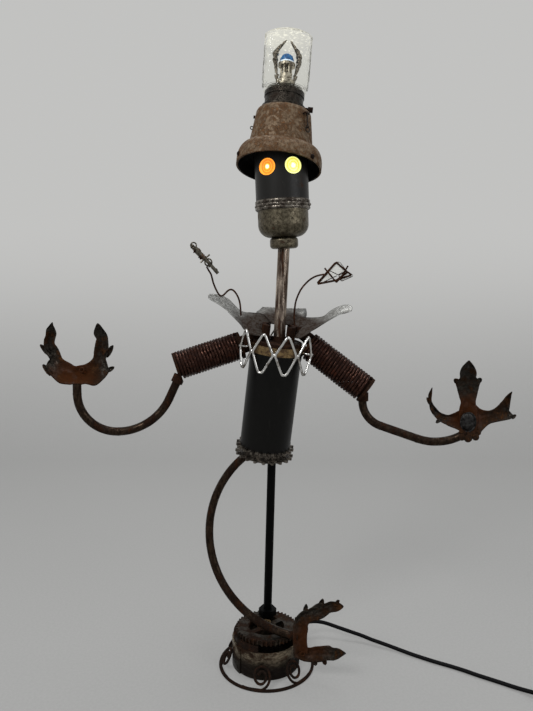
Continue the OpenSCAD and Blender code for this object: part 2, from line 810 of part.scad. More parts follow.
module right_forearm() {
    color("#4a2a1e") difference() {
        right_bar(0);
        at_spring(1) cylinder(d = spring_d + 12, h = right_spring_len);
    }
}

// ---------------------------------------------------------------- cast leaf ornaments

// A pointed leaf between two points, w wide
module leaf(x0, y0, x1, y1, w) {
    length = norm([x1 - x0, y1 - y0]);
    r = (length * length / 4 + w * w / 4) / w;
    translate([x0, y0]) rotate(atan2(y1 - y0, x1 - x0)) intersection() {
        translate([length / 2, r - w / 2]) circle(r = r);
        translate([length / 2, w / 2 - r]) circle(r = r);
    }
}

// A crescent with leaves for horns, cupped about the X axis. It opens towards +Z.
module leaf_cup(out_r, in_r, in_at, cut, leaves, hole, middle) {
    intersection() {
        translate([0, 120, 0]) rotate([90, 0, 0]) linear_extrude(240) difference() {
            union() {
                difference() {
                    circle(r = out_r);
                    translate(in_at) circle(r = in_r);
                    translate([-100, cut]) square([200, 200]);
                }
                for (l = leaves) leaf(l[0], l[1], l[2], l[3], l[4]);
            }
            translate(hole) circle(d = 4.5);
        }
        translate([-100, -cup_r, middle]) rotate([0, 90, 0]) difference() {
            cylinder(r = cup_r + leaf_t / 2, h = 200, $fn = 128);
            translate([0, 0, -1]) cylinder(r = cup_r - leaf_t / 2, h = 202, $fn = 128);
            translate([-2 * cup_r, -2 * cup_r, -2]) cube([4 * cup_r, 2 * cup_r, 204]);
        }
    }
}

function arm_point(side, end) =
    arm_root + [side * end.x * cos(arm_turn), -end.x * sin(arm_turn), end.y];

module left_hand() {
    crescent = [-6, 42];
    leaves = [[-36, -6, -30.5, 42, 17], [36, -8, 33, 40, 17], [-30, -10, -50, 9, 11],
              [-28, -28, -47, -18, 12], [30, -12, 53, 10, 11], [28, -30, 53, -22, 12]];
    color("#5a3a26") translate(arm_point(-1, left_arm_end)) translate([crescent.x, 4, crescent.y])
        leaf_cup(45, 29, [-0.5, 9], 4, leaves, [5, -25], -12);
}

module right_hand() {
    crescent = [6.3, 51];
    leaves = [[-6.6, -50, -6.6, 20, 30], [-6.6, -4, -6.6, 52, 23], [-4, 8, -26, 23, 11],
              [-9, 8, 12, 23, 11], [48, -32, 57, 7, 16], [44, -40, 61, -28, 10],
              [-56, -14, -57, 12, 9], [30, -48, 47, -40, 9]];
    color("#5a3a26") translate(arm_point(1, right_arm_end)) translate([crescent.x, 4, crescent.y])
        leaf_cup(58, 46, [-6, 6], -8, leaves, [-7, -44], -20);
}

module foot() {
    leaves = [[-35, -22, -44.5, 28, 18], [35, -20, 26, 32, 17], [-26, -18, -46.4, -27, 11],
              [-30, -10, -54, -3, 13], [30, -12, 49, -11, 10], [30, -6, 43, 3, 9]];
    color("#6a3d22") translate(foot_at) rotate([0, 90, 0])
        leaf_cup(45, 30, [-4, 9], -8, leaves, [20, -34], -25);
}

// An arc of round bar between two points, bulging towards out
module arc_between(p, q, r, out, d) {
    chord = q - p;
    half = norm(chord) / 2;
    along = unit(chord);
    side = unit(out - (out * along) * along);
    centre = (p + q) / 2 - sqrt(r * r - half * half) * side;
    sweep = 2 * asin(half / r);
    normal = cross(side, along);
    multmatrix([[side.x, along.x, normal.x, centre.x], [side.y, along.y, normal.y, centre.y],
                [side.z, along.z, normal.z, centre.z], [0, 0, 0, 1]])
        rotate([0, 0, -sweep / 2 - 2]) rotate_extrude(angle = sweep + 2) translate([r, 0]) circle(d = d);
}

module leg_rod() {
    color("#4a2a1e") difference() {
        arc_between(leg_top, leg_end, leg_bend_r, leg_out, leg_d);
        translate([0, 0, gear_z]) cylinder(r = gear_root_r + gear_tooth_h + 1, h = gear_top - gear_z);
        over_waist(lower_sprocket_z);
        on(torso_f) translate([0, 0, waist_z - 20]) cylinder(r = waist_boss_r, h = waist_boss_h + 20);
    }
}

// ---------------------------------------------------------------- neck and head

module neck_pipe() {
    color("#4a3428") difference() {
        on(neck_f) translate([0, 0, -6]) ring_tube(neck_bore / 2, neck_d / 2, neck_len + 12);
        on(torso_f) translate([-60, -60, flange_top - 30]) cube([120, 120, 30]);
        on(head_f) translate([-60, -60, 0]) cube([120, 120, 40]);
    }
}

module neck_collar() {
    round_r = 5;
    color("#55483c") difference() {
        on(head_f) rotate_extrude() {
            translate([0, -collar_h / 2]) square([collar_r - round_r, collar_h]);
            translate([0, round_r - collar_h / 2]) square([collar_r, collar_h - 2 * round_r]);
            for (s = [-1, 1])
                translate([collar_r - round_r, s * (collar_h / 2 - round_r)]) circle(r = round_r);
        }
        intersection() {
            on(neck_f) translate([0, 0, neck_len - 30]) cylinder(d = neck_d + 2 * bore_fit, h = 36);
            on(head_f) translate([-60, -60, seam - 60]) cube([120, 120, 60]);
        }
        on(head_f) translate([0, 0, -2]) cylinder(d = neck_bore - 2, h = collar_h);
    }
}

module chin_side(inset) {
    bowl_r = 18;
    translate([0, bowl_r]) square([chin_r - inset, chin_h + inset]);
    translate([chin_r - bowl_r, bowl_r]) circle(r = bowl_r - inset);
    translate([0, inset]) square([chin_r - bowl_r, chin_h]);
}

module chin_casting() {
    color("#6b6553") on(head_f) translate([0, 0, chin_z]) difference() {
        rotate_extrude() intersection() {
            chin_side(0);
            square([chin_r + 1, chin_h]);
        }
        rotate_extrude() intersection() {
            chin_side(head_wall);
            square([chin_r + 1, chin_h + 1]);
        }
        translate([0, 0, -1]) cylinder(d = neck_bore - 2, h = 10);
    }
}

module head_weld() {
    bead = 4.4;
    color("#4f4a42") on(head_f) translate([0, 0, weld_z]) rotate_extrude() {
        translate([chin_r - head_wall, 0]) square([head_d / 2 - chin_r + head_wall, weld_h]);
        for (k = [0:2])
            translate([head_d / 2 - 0.6, bead / 2 + 0.2 + k * (weld_h - bead - 0.4) / 2]) circle(d = bead);
    }
}

// Local +Z points forward, out of the eye's middle
module at_eye(x) {
    on(head_f) rotate([0, 0, eye_yaw]) translate([x, 0, eye_z]) rotate([90, 0, 0]) children();
}

module head_tube() {
    color("#26241f") difference() {
        on(head_f) translate([0, 0, head_z]) ring_tube(head_d / 2 - head_wall, head_d / 2, head_len);
        for (x = eye_xs)
            at_eye(x) cylinder(d = lens_d + 2 * lens_fit, h = head_d);
    }
}

// A curved lens that lies flush in the head's wall
module eye_lens(x) {
    intersection() {
        at_eye(x) cylinder(d = lens_d, h = head_d);
        on(head_f) translate([0, 0, eye_z - lens_d])
            ring_tube(head_d / 2 - head_wall + 0.4, head_d / 2 - 0.4, 2 * lens_d);
    }
}

module left_eye_lens() {
    color("#ff9a1e") eye_lens(eye_xs[0]);
}

module right_eye_lens() {
    color("#fff2a0") eye_lens(eye_xs[1]);
}

// Cups behind the lenses, seated on the head tube's inner wall
module eye_sockets() {
    cup_d = lens_d + 4;
    color("#8c8578") difference() {
        for (x = eye_xs)
            at_eye(x) translate([0, 0, eye_depth - 12]) cylinder(d = cup_d, h = head_d / 2);
        for (x = eye_xs)
            at_eye(x) translate([0, 0, eye_depth - 10]) cylinder(d = cup_d - 3, h = head_d / 2);
        for (x = eye_xs)
            at_eye(x) translate([0, 0, eye_depth - 14]) cylinder(d = 8, h = 6);
        on(head_f) difference() {
            translate([0, 0, eye_z - 40]) cylinder(r = head_d, h = 80);
            translate([0, 0, eye_z - 41]) cylinder(r = head_d / 2 - head_wall - seam, h = 82);
        }
    }
}

module eye_bulbs() {
    color("#fff6c8") for (x = eye_xs)
        at_eye(x) {
            translate([0, 0, eye_depth - 11]) cylinder(d = 7.9, h = 9);
            translate([0, 0, eye_depth]) sphere(d = 11);
        }
}

// A lid in the head tube and the hollow threaded nipple that carries hat and jar
module head_cap() {
    nipple_base = crown_z - 54;
    color("#3a342c") difference() {
        union() {
            on(head_f) translate([0, 0, head_top]) cylinder(d = head_d, h = cap_t);
            difference() {
                on(hat_f) translate([0, 0, nipple_base]) {
                    cylinder(d = nipple_d, h = crown_z + 6 - nipple_base);
                    translate([0, 0, crown_z - hat_wall - nipple_base - 5])
                        cylinder(d = nipple_d + 8, h = 5, $fn = 6);
                }
                on(head_f) translate([-60, -60, head_top - 40]) cube([120, 120, 40]);
            }
        }
        on(hat_f) translate([0, 0, nipple_base - 20]) cylinder(d = nipple_bore, h = crown_z);
    }
}

// ---------------------------------------------------------------- hat

// Outline of the hat from its skirt to its crown, inset by the sheet's wall
function hat_edge(inset) =
    let (reach = brim_r - seam_r, rise = seam_z - skirt_h)
    concat([[brim_r - inset, -skirt_h - 4]],
           [for (t = [90:-9:0])
               [seam_r - inset + reach * sin(t), skirt_h + (rise - inset) * cos(t)]],
           [for (t = [0:15:90])
               [crown_r - crown_round + (crown_round - inset) * cos(t),
                crown_z - crown_round + (crown_round - inset) * sin(t)]],
           [[0, crown_z - inset], [0, -skirt_h - 4]]);

module hat_solid(inset) {
    rotate_extrude() polygon(hat_edge(inset));
}

module hat() {
    color("#7a5a44") on(hat_f) difference() {
        hat_solid(0);
        difference() {
            hat_solid(hat_wall);
            translate([-50, -50, crown_z - hat_wall]) cube([100, 100, 10]);
        }
        translate([0, 0, -skirt_h - 6]) cylinder(r = brim_r - hat_wall, h = 4);
        rotate([-rim_slant, 0, 0]) translate([-100, -100, -60]) cube([200, 200, 60]);
        translate([0, 0, crown_z - 10]) cylinder(d = nipple_d + 2 * bore_fit, h = 20);
    }
}

// Turns about the hat's axis: 0 faces forward, positive towards +X. Local -Y points outward.
module at_hat(a, z) {
    on(hat_f) translate([0, 0, z]) rotate([0, 0, a]) children();
}

function crown_at(z) = seam_r + (crown_r - seam_r) * (z - seam_z) / (crown_z - crown_round - seam_z);

rivet_turns = [-69, 46, 140, -140];
module hat_bolts() {
    color("#2e2620") difference() {
        union() {
            for (a = rivet_turns)
                at_hat(a, skirt_h + 1.5) rotate([90, 0, 0]) translate([0, 0, brim_r - 5]) {
                    cylinder(d = 6.4, h = 6.2);
                    translate([0, 0, 6.2]) cylinder(d1 = 6.4, d2 = 4, h = 1.2);
                }
            at_hat(90, crown_z + 4.5) rotate([90, 0, 0]) translate([0, 0, jar_collar_r - 4]) {
                cylinder(d = 5, h = 10);
                translate([0, 0, 9]) cylinder(d = 7.8, h = 7);
            }
            at_hat(-90, crown_z - 13) rotate([90, 0, 0]) translate([0, 0, crown_r - 4])
                cylinder(d = 4.2, h = 7);
        }
        on(hat_f) hat_solid(0);
        jar_collar_body(seam);
    }
}

// Lug for the hanging pin on the crown's right front, and a small eye on its left
lug_turn = 46;
lug_z = 70;
lug_out = 4.6;
axle_d = 1.6;
crown_slope = atan((seam_r - crown_r) / (crown_z - crown_round - seam_z));
module at_lug() {
    at_hat(lug_turn, lug_z) translate([0, -crown_at(lug_z), 0]) rotate([-crown_slope, 0, 0]) children();
}

module hat_lugs() {
    post_gap = 3.4;
    color("#3a2c22") {
        difference() {
            at_lug() {
                for (s = [-1, 1])
                    translate([s * post_gap, 1, 0]) rotate([90, 0, 0]) cylinder(d = 2.2, h = lug_out + 2);
                translate([-post_gap, -lug_out, 0]) rotate([0, 90, 0]) cylinder(d = axle_d, h = 2 * post_gap);
            }
            on(hat_f) hat_solid(0);
        }
        difference() {
            at_hat(-76, 50) translate([0, -crown_at(50) - 1.4, 0]) rotate([0, 90, 0])
                rotate_extrude() translate([2.1, 0]) circle(d = 1.2);
            on(hat_f) hat_solid(0);
        }
    }
}

// The pin hangs from the lug's axle by its upper eye and holds the ring in its lower eye.
pin_drop = 19;
pin_eye_r = 2;
module hat_pin() {
    wire = 1.4;
    color("#2a2420") at_lug() translate([0, -lug_out, 0]) {
        rotate([0, 90, 0]) difference() {
            cylinder(r = pin_eye_r, h = 2.4, center = true);
            cylinder(d = axle_d + 0.1, h = 4, center = true);
        }
        translate([0, 0, -pin_drop + pin_eye_r]) cylinder(d = 2.2, h = pin_drop - 2 * pin_eye_r + 0.6);
        translate([0, 0, -pin_drop]) rotate([0, 90, 0])
            rotate_extrude() translate([pin_eye_r, 0]) circle(d = wire);
    }
}

hat_ring_r = 3.8;
module hat_ring() {
    color("#2a2420") at_lug() translate([0, -lug_out, -pin_drop - hat_ring_r]) rotate([90, 0, 0])
        rotate_extrude() translate([hat_ring_r, 0]) circle(d = 1.4);
}

// ---------------------------------------------------------------- jar and its insides

module jar_collar_body(grow) {
    difference() {
        on(jar_f) {
            translate([0, 0, -4]) cylinder(r = jar_collar_r + 2.5 + grow, h = 8);
            cylinder(r = jar_collar_r - 1 + grow, h = jar_collar_h);
            translate([0, 0, jar_collar_h - 7]) cylinder(r = jar_collar_r + grow, h = 7);
        }
        on(hat_f) translate([-60, -60, crown_z - 30 + seam]) cube([120, 120, 30]);
    }
}

module jar_collar() {
    color("#3b382f") difference() {
        union() {
            jar_collar_body(0);
            on(jar_f) translate([0, 0, jar_collar_h]) cylinder(r = spigot_r, h = 5);
        }
        on(hat_f) translate([0, 0, crown_z - 4]) cylinder(d = nipple_d + 2 * bore_fit, h = 10.2);
        on(jar_f) translate([0, 0, -6]) cylinder(d = nipple_bore, h = jar_collar_h + 20);
    }
}

module round_square(w, r) {
    flat = w - 2 * r;
    square([w, flat], center = true);
    square([flat, w], center = true);
    for (x = [-1, 1], y = [-1, 1])
        translate([x * flat / 2, y * flat / 2]) circle(r = r);
}

// The jar stands upside down. Height is measured from its mouth.
module jar_form(inset) {
    mouth_h = 9;
    shoulder_h = 13;
    corner = jar_w / 2 * sqrt(2) - jar_corner * (sqrt(2) - 1) - inset;
    base_r = 13;
    intersection() {
        rotate_extrude() polygon(concat(
            [[0, -1], [mouth_r - inset * 1.3, -1], [mouth_r - inset * 1.3, mouth_h + inset]],
            [for (t = [0:15:90])
                [mouth_r - inset * 1.3 + (corner - mouth_r + inset * 1.3) * sin(t),
                 mouth_h + inset + shoulder_h * (1 - cos(t))]],
            [for (t = [0:15:90])
                [corner - (base_r - inset) * (1 - cos(t)), jar_h - base_r + (base_r - inset) * sin(t)]],
            [[0, jar_h - inset]]));
        translate([0, 0, -1]) linear_extrude(jar_h + 2) round_square(jar_w - 2 * inset, jar_corner - inset);
    }
}

module jar() {
    color("#dfe6df", 0.35) on(jar_f) translate([0, 0, jar_z + seam]) difference() {
        union() {
            jar_form(0);
            translate([0, 0, 1.5]) ring_tube(mouth_r - 1, mouth_r + 1, 3);
        }
        jar_form(jar_wall);
        translate([0, 0, -2]) cylinder(r = mouth_r + 4, h = 2);
    }
}

socket_z = jar_collar_h + 5;
dome_z = socket_z + 36;
module jar_socket() {
    color("#b8ab8a") on(jar_f) difference() {
        union() {
            translate([0, 0, socket_z]) cylinder(r = 18, h = 4);
            translate([0, 0, socket_z + 4]) cylinder(r = 13, h = 8);
            translate([0, 0, socket_z + 12]) cylinder(r = 9, h = 9);
            for (a = [0:60:300])
                rotate(a) translate([6.8, 0, socket_z + 21]) cylinder(d = 3.2, h = 11);
            translate([0, 0, socket_z + 21]) cylinder(r = 4, h = 11);
            translate([0, 0, socket_z + 32]) cylinder(r = 12, h = 4);
        }
        translate([0, 0, socket_z - 1]) cylinder(d = nipple_bore, h = 26);
    }
}

// Two cast arms that rise beside the dome and close over it
module jar_claws() {
    arm = [[-24, 38], [0, 17]];
    prong = [[22, 44]];
    color("#6a5c4c") on(jar_f) for (s = [0, 180])
        rotate([0, 0, s + 8]) {
            difference() {
                translate([13, 0, socket_z + 6]) rotate([0, -108, 0]) bent_bar(arm, 3.4);
                translate([0, 0, socket_z]) cylinder(r = 13.02, h = 12);
                translate([0, 0, socket_z + 31.9]) cylinder(r = 12.1, h = 4.2);
            }
            translate([17.5, 0, socket_z + 40]) sphere(d = 7);
            translate([18.6, 0, socket_z + 45.5]) sphere(d = 5.6);
            translate([18, 0, socket_z + 50]) sphere(d = 5);
            translate([18, 0, socket_z + 50]) rotate([0, 52, 0]) cylinder(d1 = 2.6, d2 = 0.8, h = 8);
            translate([18, 0, socket_z + 50]) rotate([0, -84, 0]) bent_bar(prong, 2.2);
        }
}

module blue_dome() {
    color("#1766b8") on(jar_f) translate([0, 0, dome_z]) intersection() {
        union() {
            cylinder(r = dome_r, h = dome_h - dome_r);
            translate([0, 0, dome_h - dome_r]) sphere(r = dome_r);
        }
        cylinder(r = dome_r, h = dome_h);
    }
}

// ---------------------------------------------------------------- antennas and charms

antenna_d = 2.6;
left_root = put(torso_f, [-57, 0, plate_z + 7]);
right_root = put(torso_f, [22, -10, plate_z + plate_t]);
left_antenna_route = [[0, 0, 0], [-1, 0, 16], [-4, 0, 27], [-9, 0, 35], [-14, 0, 38], [-19, 0, 36],
                      [-25, 0, 30], [-30, 0, 29], [-35, 0, 36], [-40, 0, 48], [-43, 0, 60], [-49, 0, 70],
                      [-46, -0.6, 73]];
right_antenna_route = [[0, 0, 0], [-1, 0, 13], [0, -1, 26], [2, -1, 37], [8, -2, 51], [16, -3, 61],
                       [23, -4, 67], [31, -5, 71], [41, -6, 73], [43, -6, 71.4]];
left_charm_at = left_root + [-49, 0, 70];
right_charm_at = right_root + [41, -6, 73];

module left_antenna() {
    color("#6b3a22") translate(left_root)
        swept_wire(smooth_route(left_antenna_route, 2), antenna_d, 6, [0, 1, 0]);
}

jewel_kite = [[17, 17], [22, 16.5], [31, 5.5], [20, 0], [8, 5.5]];
jewel_fin = [[-7, -13], [8, 4.5], [19, -1]];
jewel_wing = [[25, -9], [41, -2], [32, 4.4], [21.5, -1.2]];
jewel_t = 5;
jewel_wire = 2.2;
// A wire bent round an outline in the XZ plane
module frame_wires(outline, d) {
    n = len(outline);
    loop = [for (i = [0:n - 1]) for (u = [0.05, 0.5, 0.95])
        let (p = outline[i] * (1 - u) + outline[(i + 1) % n] * u) [p.x, 0, p.y]];
    swept_wire(loop, d, 6, [0, 1, 0], true);
}

module right_antenna() {
    color("#5a3322") {
        translate(right_root)
            swept_wire(smooth_route(right_antenna_route, 2), antenna_d, 6, [0, 1, 0]);
        translate(right_charm_at)
            for (outline = [jewel_kite, jewel_fin, jewel_wing]) frame_wires(outline, jewel_wire);
    }
}

// Cut glass in three wedges, each held in its own loop of wire
module right_jewel() {
    color("#d8dad2", 0.7) translate(right_charm_at)
        for (outline = [jewel_kite, jewel_fin, jewel_wing])
            translate([0, jewel_t / 2, 0]) rotate([90, 0, 0]) linear_extrude(jewel_t) polygon(outline);
}

// A glass rod in a wire wrap, with a loop at its top, wired to the antenna's end
module left_charm() {
    charm_lean = -41;
    color("#8d8a7c") translate(left_charm_at + [-2, -4, 12]) rotate([0, charm_lean, 0]) {
        translate([0, 0, -28]) cylinder(d = 5, h = 50);
        translate([0, 0, 25]) rotate([90, 0, 0]) rotate_extrude() translate([4, 0]) circle(d = 2);
        rotate([0, 90, 0]) translate([0, 0, -9]) cylinder(d = 2.2, h = 18);
        translate([0, 0, -7]) rotate([90, 0, 0]) rotate_extrude() translate([5, 0]) circle(d = 2.2);
        translate([0, 0, 12]) cylinder(d = 7, h = 5);
    }
}

// ---------------------------------------------------------------- wiring and cord

wire_d = 3.6;
module wiring() {
    gland_dir = [cos(gland_turn), sin(gland_turn), 0];
    inside = concat(
        [(drum_r - 6) * gland_dir + [0, 0, gland_z], (drum_r - 14) * gland_dir + [0, 0, gland_z],
         [12, 35, gland_z + 1], put(post_f, [0, 0, 36 - gear_top]), put(post_f, [0, 0, -12])],
        [for (s = [0:post_len / 5:post_len - 8]) put(post_f, [0, 0, s])],
        [put(torso_f, [post_in_torso.x, post_in_torso.y, -8]), put(torso_f, [9, 0, 30]),
         put(torso_f, [4, 0, 100]), put(neck_f, [0, 0, -14]), put(neck_f, [0, 0, 30]),
         put(neck_f, [0, 0, neck_len - 20]), put(head_f, [0, 0, 0]), put(head_f, [0, 0, weld_z]),
         put(hat_f, [0, 0, 26]), put(hat_f, [0, 0, crown_z - 10]), put(jar_f, [0, 0, 10]),
         put(jar_f, [0, 0, socket_z + 20])]);
    color("#111111") {
        swept_wire(smooth_route(inside, 2), wire_d, 6, [1, -1, 0]);
        difference() {
            for (x = eye_xs)
                at_eye(x) translate([0, 0, 0.5]) cylinder(d = 2.4, h = eye_depth - 11.5);
            on(head_f) translate([0, 0, eye_z - 20]) cylinder(d = wire_d + 2, h = 40);
        }
    }
}

module cord() {
    color("#101010") difference() {
        swept_wire(cord_route, cord_d, 8, [0, 0, 1]);
        at_switch() translate([-switch_len / 2 - seam, -switch_w / 2, 0])
            cube([switch_len + 2 * seam, switch_w, switch_h]);
        translate([coil_at.x, coil_at.y, 0]) cylinder(r = coil_out + 2 * seam, h = coil_h + 10, $fn = 180);
    }
}

module cord_coil() {
    color("#101010") translate([coil_at.x, coil_at.y, tie_t]) ring_tube(coil_in, coil_out, coil_h);
}

module coil_tie() {
    w = 8;
    across = coil_out - coil_in;
    color("#202020") translate([coil_at.x, coil_at.y, 0]) rotate([0, 0, 20]) difference() {
        translate([coil_in - 1.6, -w / 2, 0]) cube([across + 3.2, w, coil_h + 2 * tie_t]);
        translate([0, 0, tie_t - seam]) ring_tube(coil_in - 0.1, coil_out + 0.1, coil_h + 2 * seam);
    }
}

module at_switch() {
    translate([switch_at.x, switch_at.y, 0]) rotate([0, 0, switch_turn]) children();
}

rocker_l = 18;
rocker_w = 12;
rocker_pivot = switch_h - 4.5;
module switch_body() {
    color("#161616") at_switch() difference() {
        linear_extrude(switch_h) round_square_long(switch_len, switch_w, 7);
        translate([-rocker_l / 2 - 1, -rocker_w / 2 - 0.5, rocker_pivot - 6])
            cube([rocker_l + 2, rocker_w + 1, switch_h]);
        translate([0, rocker_w / 2 + 4, rocker_pivot]) rotate([90, 0, 0])
            cylinder(d = 3 + 2 * bore_fit, h = rocker_w + 8);
    }
}

module round_square_long(l, w, r) {
    square([l, w - 2 * r], center = true);
    square([l - 2 * r, w], center = true);
    for (x = [-1, 1], y = [-1, 1])
        translate([x * (l / 2 - r), y * (w / 2 - r)]) circle(r = r);
}

rocker_tilt = 8;
module switch_rocker() {
    half = rocker_l / 2;
    color("#b02a1e") at_switch() translate([0, 0, rocker_pivot]) {
        translate([0, rocker_w / 2 + 3, 0]) rotate([90, 0, 0]) cylinder(d = 3, h = rocker_w + 6);
        rotate([0, rocker_tilt, 0]) translate([0, rocker_w / 2, 0]) rotate([90, 0, 0])
            linear_extrude(rocker_w)
                polygon([[-half, -3.5], [half, -3.5], [half, 4.6], [0, 3.4], [-half, 4.6]]);
    }
}

// The plug lies behind the coil, its tail against the coil's outer turn.
module plug() {
    tail_at = 14;
    tail = 20;
    turn_r = coil_r + 6.5;
    body_at = tail_at + tail;
    color("#161616") translate([coil_at.x, coil_at.y, tie_t]) rotate([0, 0, plug_turn])
        translate([turn_r, 0, 0]) rotate([0, 0, 90]) difference() {
            union() {
                translate([tail_at, 0, plug_body.z / 2]) rotate([0, 90, 0])
                    cylinder(d1 = cord_d + 2, d2 = 12, h = tail);
                translate([body_at, -plug_body.y / 2, 0]) cube(plug_body);
                for (s = [-1, 1])
                    translate([body_at + plug_body.x, s * 6.35 - 0.75, plug_body.z / 2 - 3.2])
                        cube([16, 1.5, 6.4]);
            }
            translate([0, turn_r, -1]) cylinder(r = coil_out + seam, h = 40);
        }
}

base_ring();
base_scrolls();
base_drum();
gear_seat();
base_gear();
gear_hub();
post();
post_nut();
cord_gland();
waist_sprocket_lower();
waist_sprocket_upper();
torso_tube();
torso_ring();
brass_ring();
wire_band();
collar_plate();
neck_flange();
left_shoulder();
right_shoulder();
left_spring();
right_spring();
left_spring_cap();
right_spring_cap();
left_forearm();
right_forearm();
left_hand();
right_hand();
leg_rod();
foot();
neck_pipe();
neck_collar();
chin_casting();
head_weld();
head_tube();
head_cap();
left_eye_lens();
right_eye_lens();
eye_sockets();
eye_bulbs();
hat();
hat_bolts();
hat_lugs();
hat_pin();
hat_ring();
jar_collar();
jar();
jar_socket();
jar_claws();
blue_dome();
left_antenna();
right_antenna();
left_charm();
right_jewel();
wiring();
cord();
cord_coil();
coil_tie();
switch_body();
switch_rocker();
plug();
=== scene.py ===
"""Robot shaped desk lamp of scrap iron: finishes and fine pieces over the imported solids."""
import logging
import math
from dataclasses import dataclass, replace
from enum import Enum
from functools import partial
from typing import Callable, Iterable, Optional, Sequence, Union

import bmesh
import bpy
from mathutils import Euler, Matrix, Vector, noise


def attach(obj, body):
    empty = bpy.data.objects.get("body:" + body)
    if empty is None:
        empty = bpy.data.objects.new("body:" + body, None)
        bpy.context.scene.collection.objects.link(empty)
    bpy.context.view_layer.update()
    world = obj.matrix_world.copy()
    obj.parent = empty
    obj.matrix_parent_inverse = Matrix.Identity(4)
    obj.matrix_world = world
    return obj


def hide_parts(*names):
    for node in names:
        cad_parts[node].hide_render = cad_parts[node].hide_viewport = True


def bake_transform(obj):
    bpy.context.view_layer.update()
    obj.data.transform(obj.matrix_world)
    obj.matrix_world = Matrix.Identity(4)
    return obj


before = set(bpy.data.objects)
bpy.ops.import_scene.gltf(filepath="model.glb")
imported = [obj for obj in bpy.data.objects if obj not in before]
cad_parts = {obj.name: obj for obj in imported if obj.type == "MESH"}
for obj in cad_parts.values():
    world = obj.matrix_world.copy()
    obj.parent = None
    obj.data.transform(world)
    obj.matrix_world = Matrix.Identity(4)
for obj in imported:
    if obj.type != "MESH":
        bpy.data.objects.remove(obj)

LOG = logging.getLogger("robot_lamp")
MM = 0.001
PICTURE_HEIGHT = 711
FOCAL_PIXELS = 600.0
Node, Socket = bpy.types.Node, bpy.types.NodeSocket
Material, Object = bpy.types.Material, bpy.types.Object
Colour = tuple[float, float, float]
Point = tuple[float, float, float]
Rows = tuple[tuple[float, ...], ...]
EYE = Vector((0.0, -875.0, 543.6))
UPRIGHT = Vector((0.0, 0.0, 1.0))
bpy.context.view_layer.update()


# ------------------------------------------------------------------ shader writing

class Value:
    """A number socket; arithmetic on it adds Math nodes to its graph."""

    def __init__(self, graph: "Graph", socket: Socket) -> None:
        """Wrap an output socket of a graph."""
        self.graph = graph
        self.socket = socket

    def math(self, operation: str, *others: "Number", swap: bool = False) -> "Value":
        """Join this value with others in one Math node.

        Args:
            operation: Blender's name of the operation.
            others: The other operands.
            swap: Put the first other operand ahead of this one.
        Returns:
            The result.
        """
        operands: list[Number] = [self, *others]
        if swap:
            operands[0], operands[1] = operands[1], operands[0]
        node = self.graph.node("ShaderNodeMath", {"operation": operation}, dict(enumerate(operands)))
        return Value(self.graph, node.outputs[0])

    def __add__(self, other: "Number") -> "Value":
        """Sum."""
        return self.math("ADD", other)

    def __radd__(self, other: "Number") -> "Value":
        """Sum with a plain number first."""
        return self.math("ADD", other)

    def __sub__(self, other: "Number") -> "Value":
        """Difference."""
        return self.math("SUBTRACT", other)

    def __rsub__(self, other: "Number") -> "Value":
        """Difference with a plain number first."""
        return self.math("SUBTRACT", other, swap=True)

    def __mul__(self, other: "Number") -> "Value":
        """Product."""
        return self.math("MULTIPLY", other)

    def __rmul__(self, other: "Number") -> "Value":
        """Product with a plain number first."""
        return self.math("MULTIPLY", other)

    def __truediv__(self, other: "Number") -> "Value":
        """Quotient."""
        return self.math("DIVIDE", other)

    def __rtruediv__(self, other: "Number") -> "Value":
        """Quotient with a plain number first."""
        return self.math("DIVIDE", other, swap=True)

    def largest(self, other: "Number") -> "Value":
        """The larger of two."""
        return self.math("MAXIMUM", other)

    def fade(self, low: float, high: float, start: float = 0.0, end: float = 1.0) -> "Value":
        """Ease from start to end while this value goes from low to high.

        Args:
            low: Where the change starts.
            high: Where it ends.
            start: The result up to low.
            end: The result from high on.
        Returns:
            The eased value.
        """
        node = self.graph.node("ShaderNodeMapRange", {"interpolation_type": "SMOOTHSTEP"},
                               {0: self, 1: low, 2: high, 3: start, 4: end})
        return Value(self.graph, node.outputs[0])


Number = Union[Value, float, int]
Feed = Union[Value, Socket, float, int, Sequence[float]]


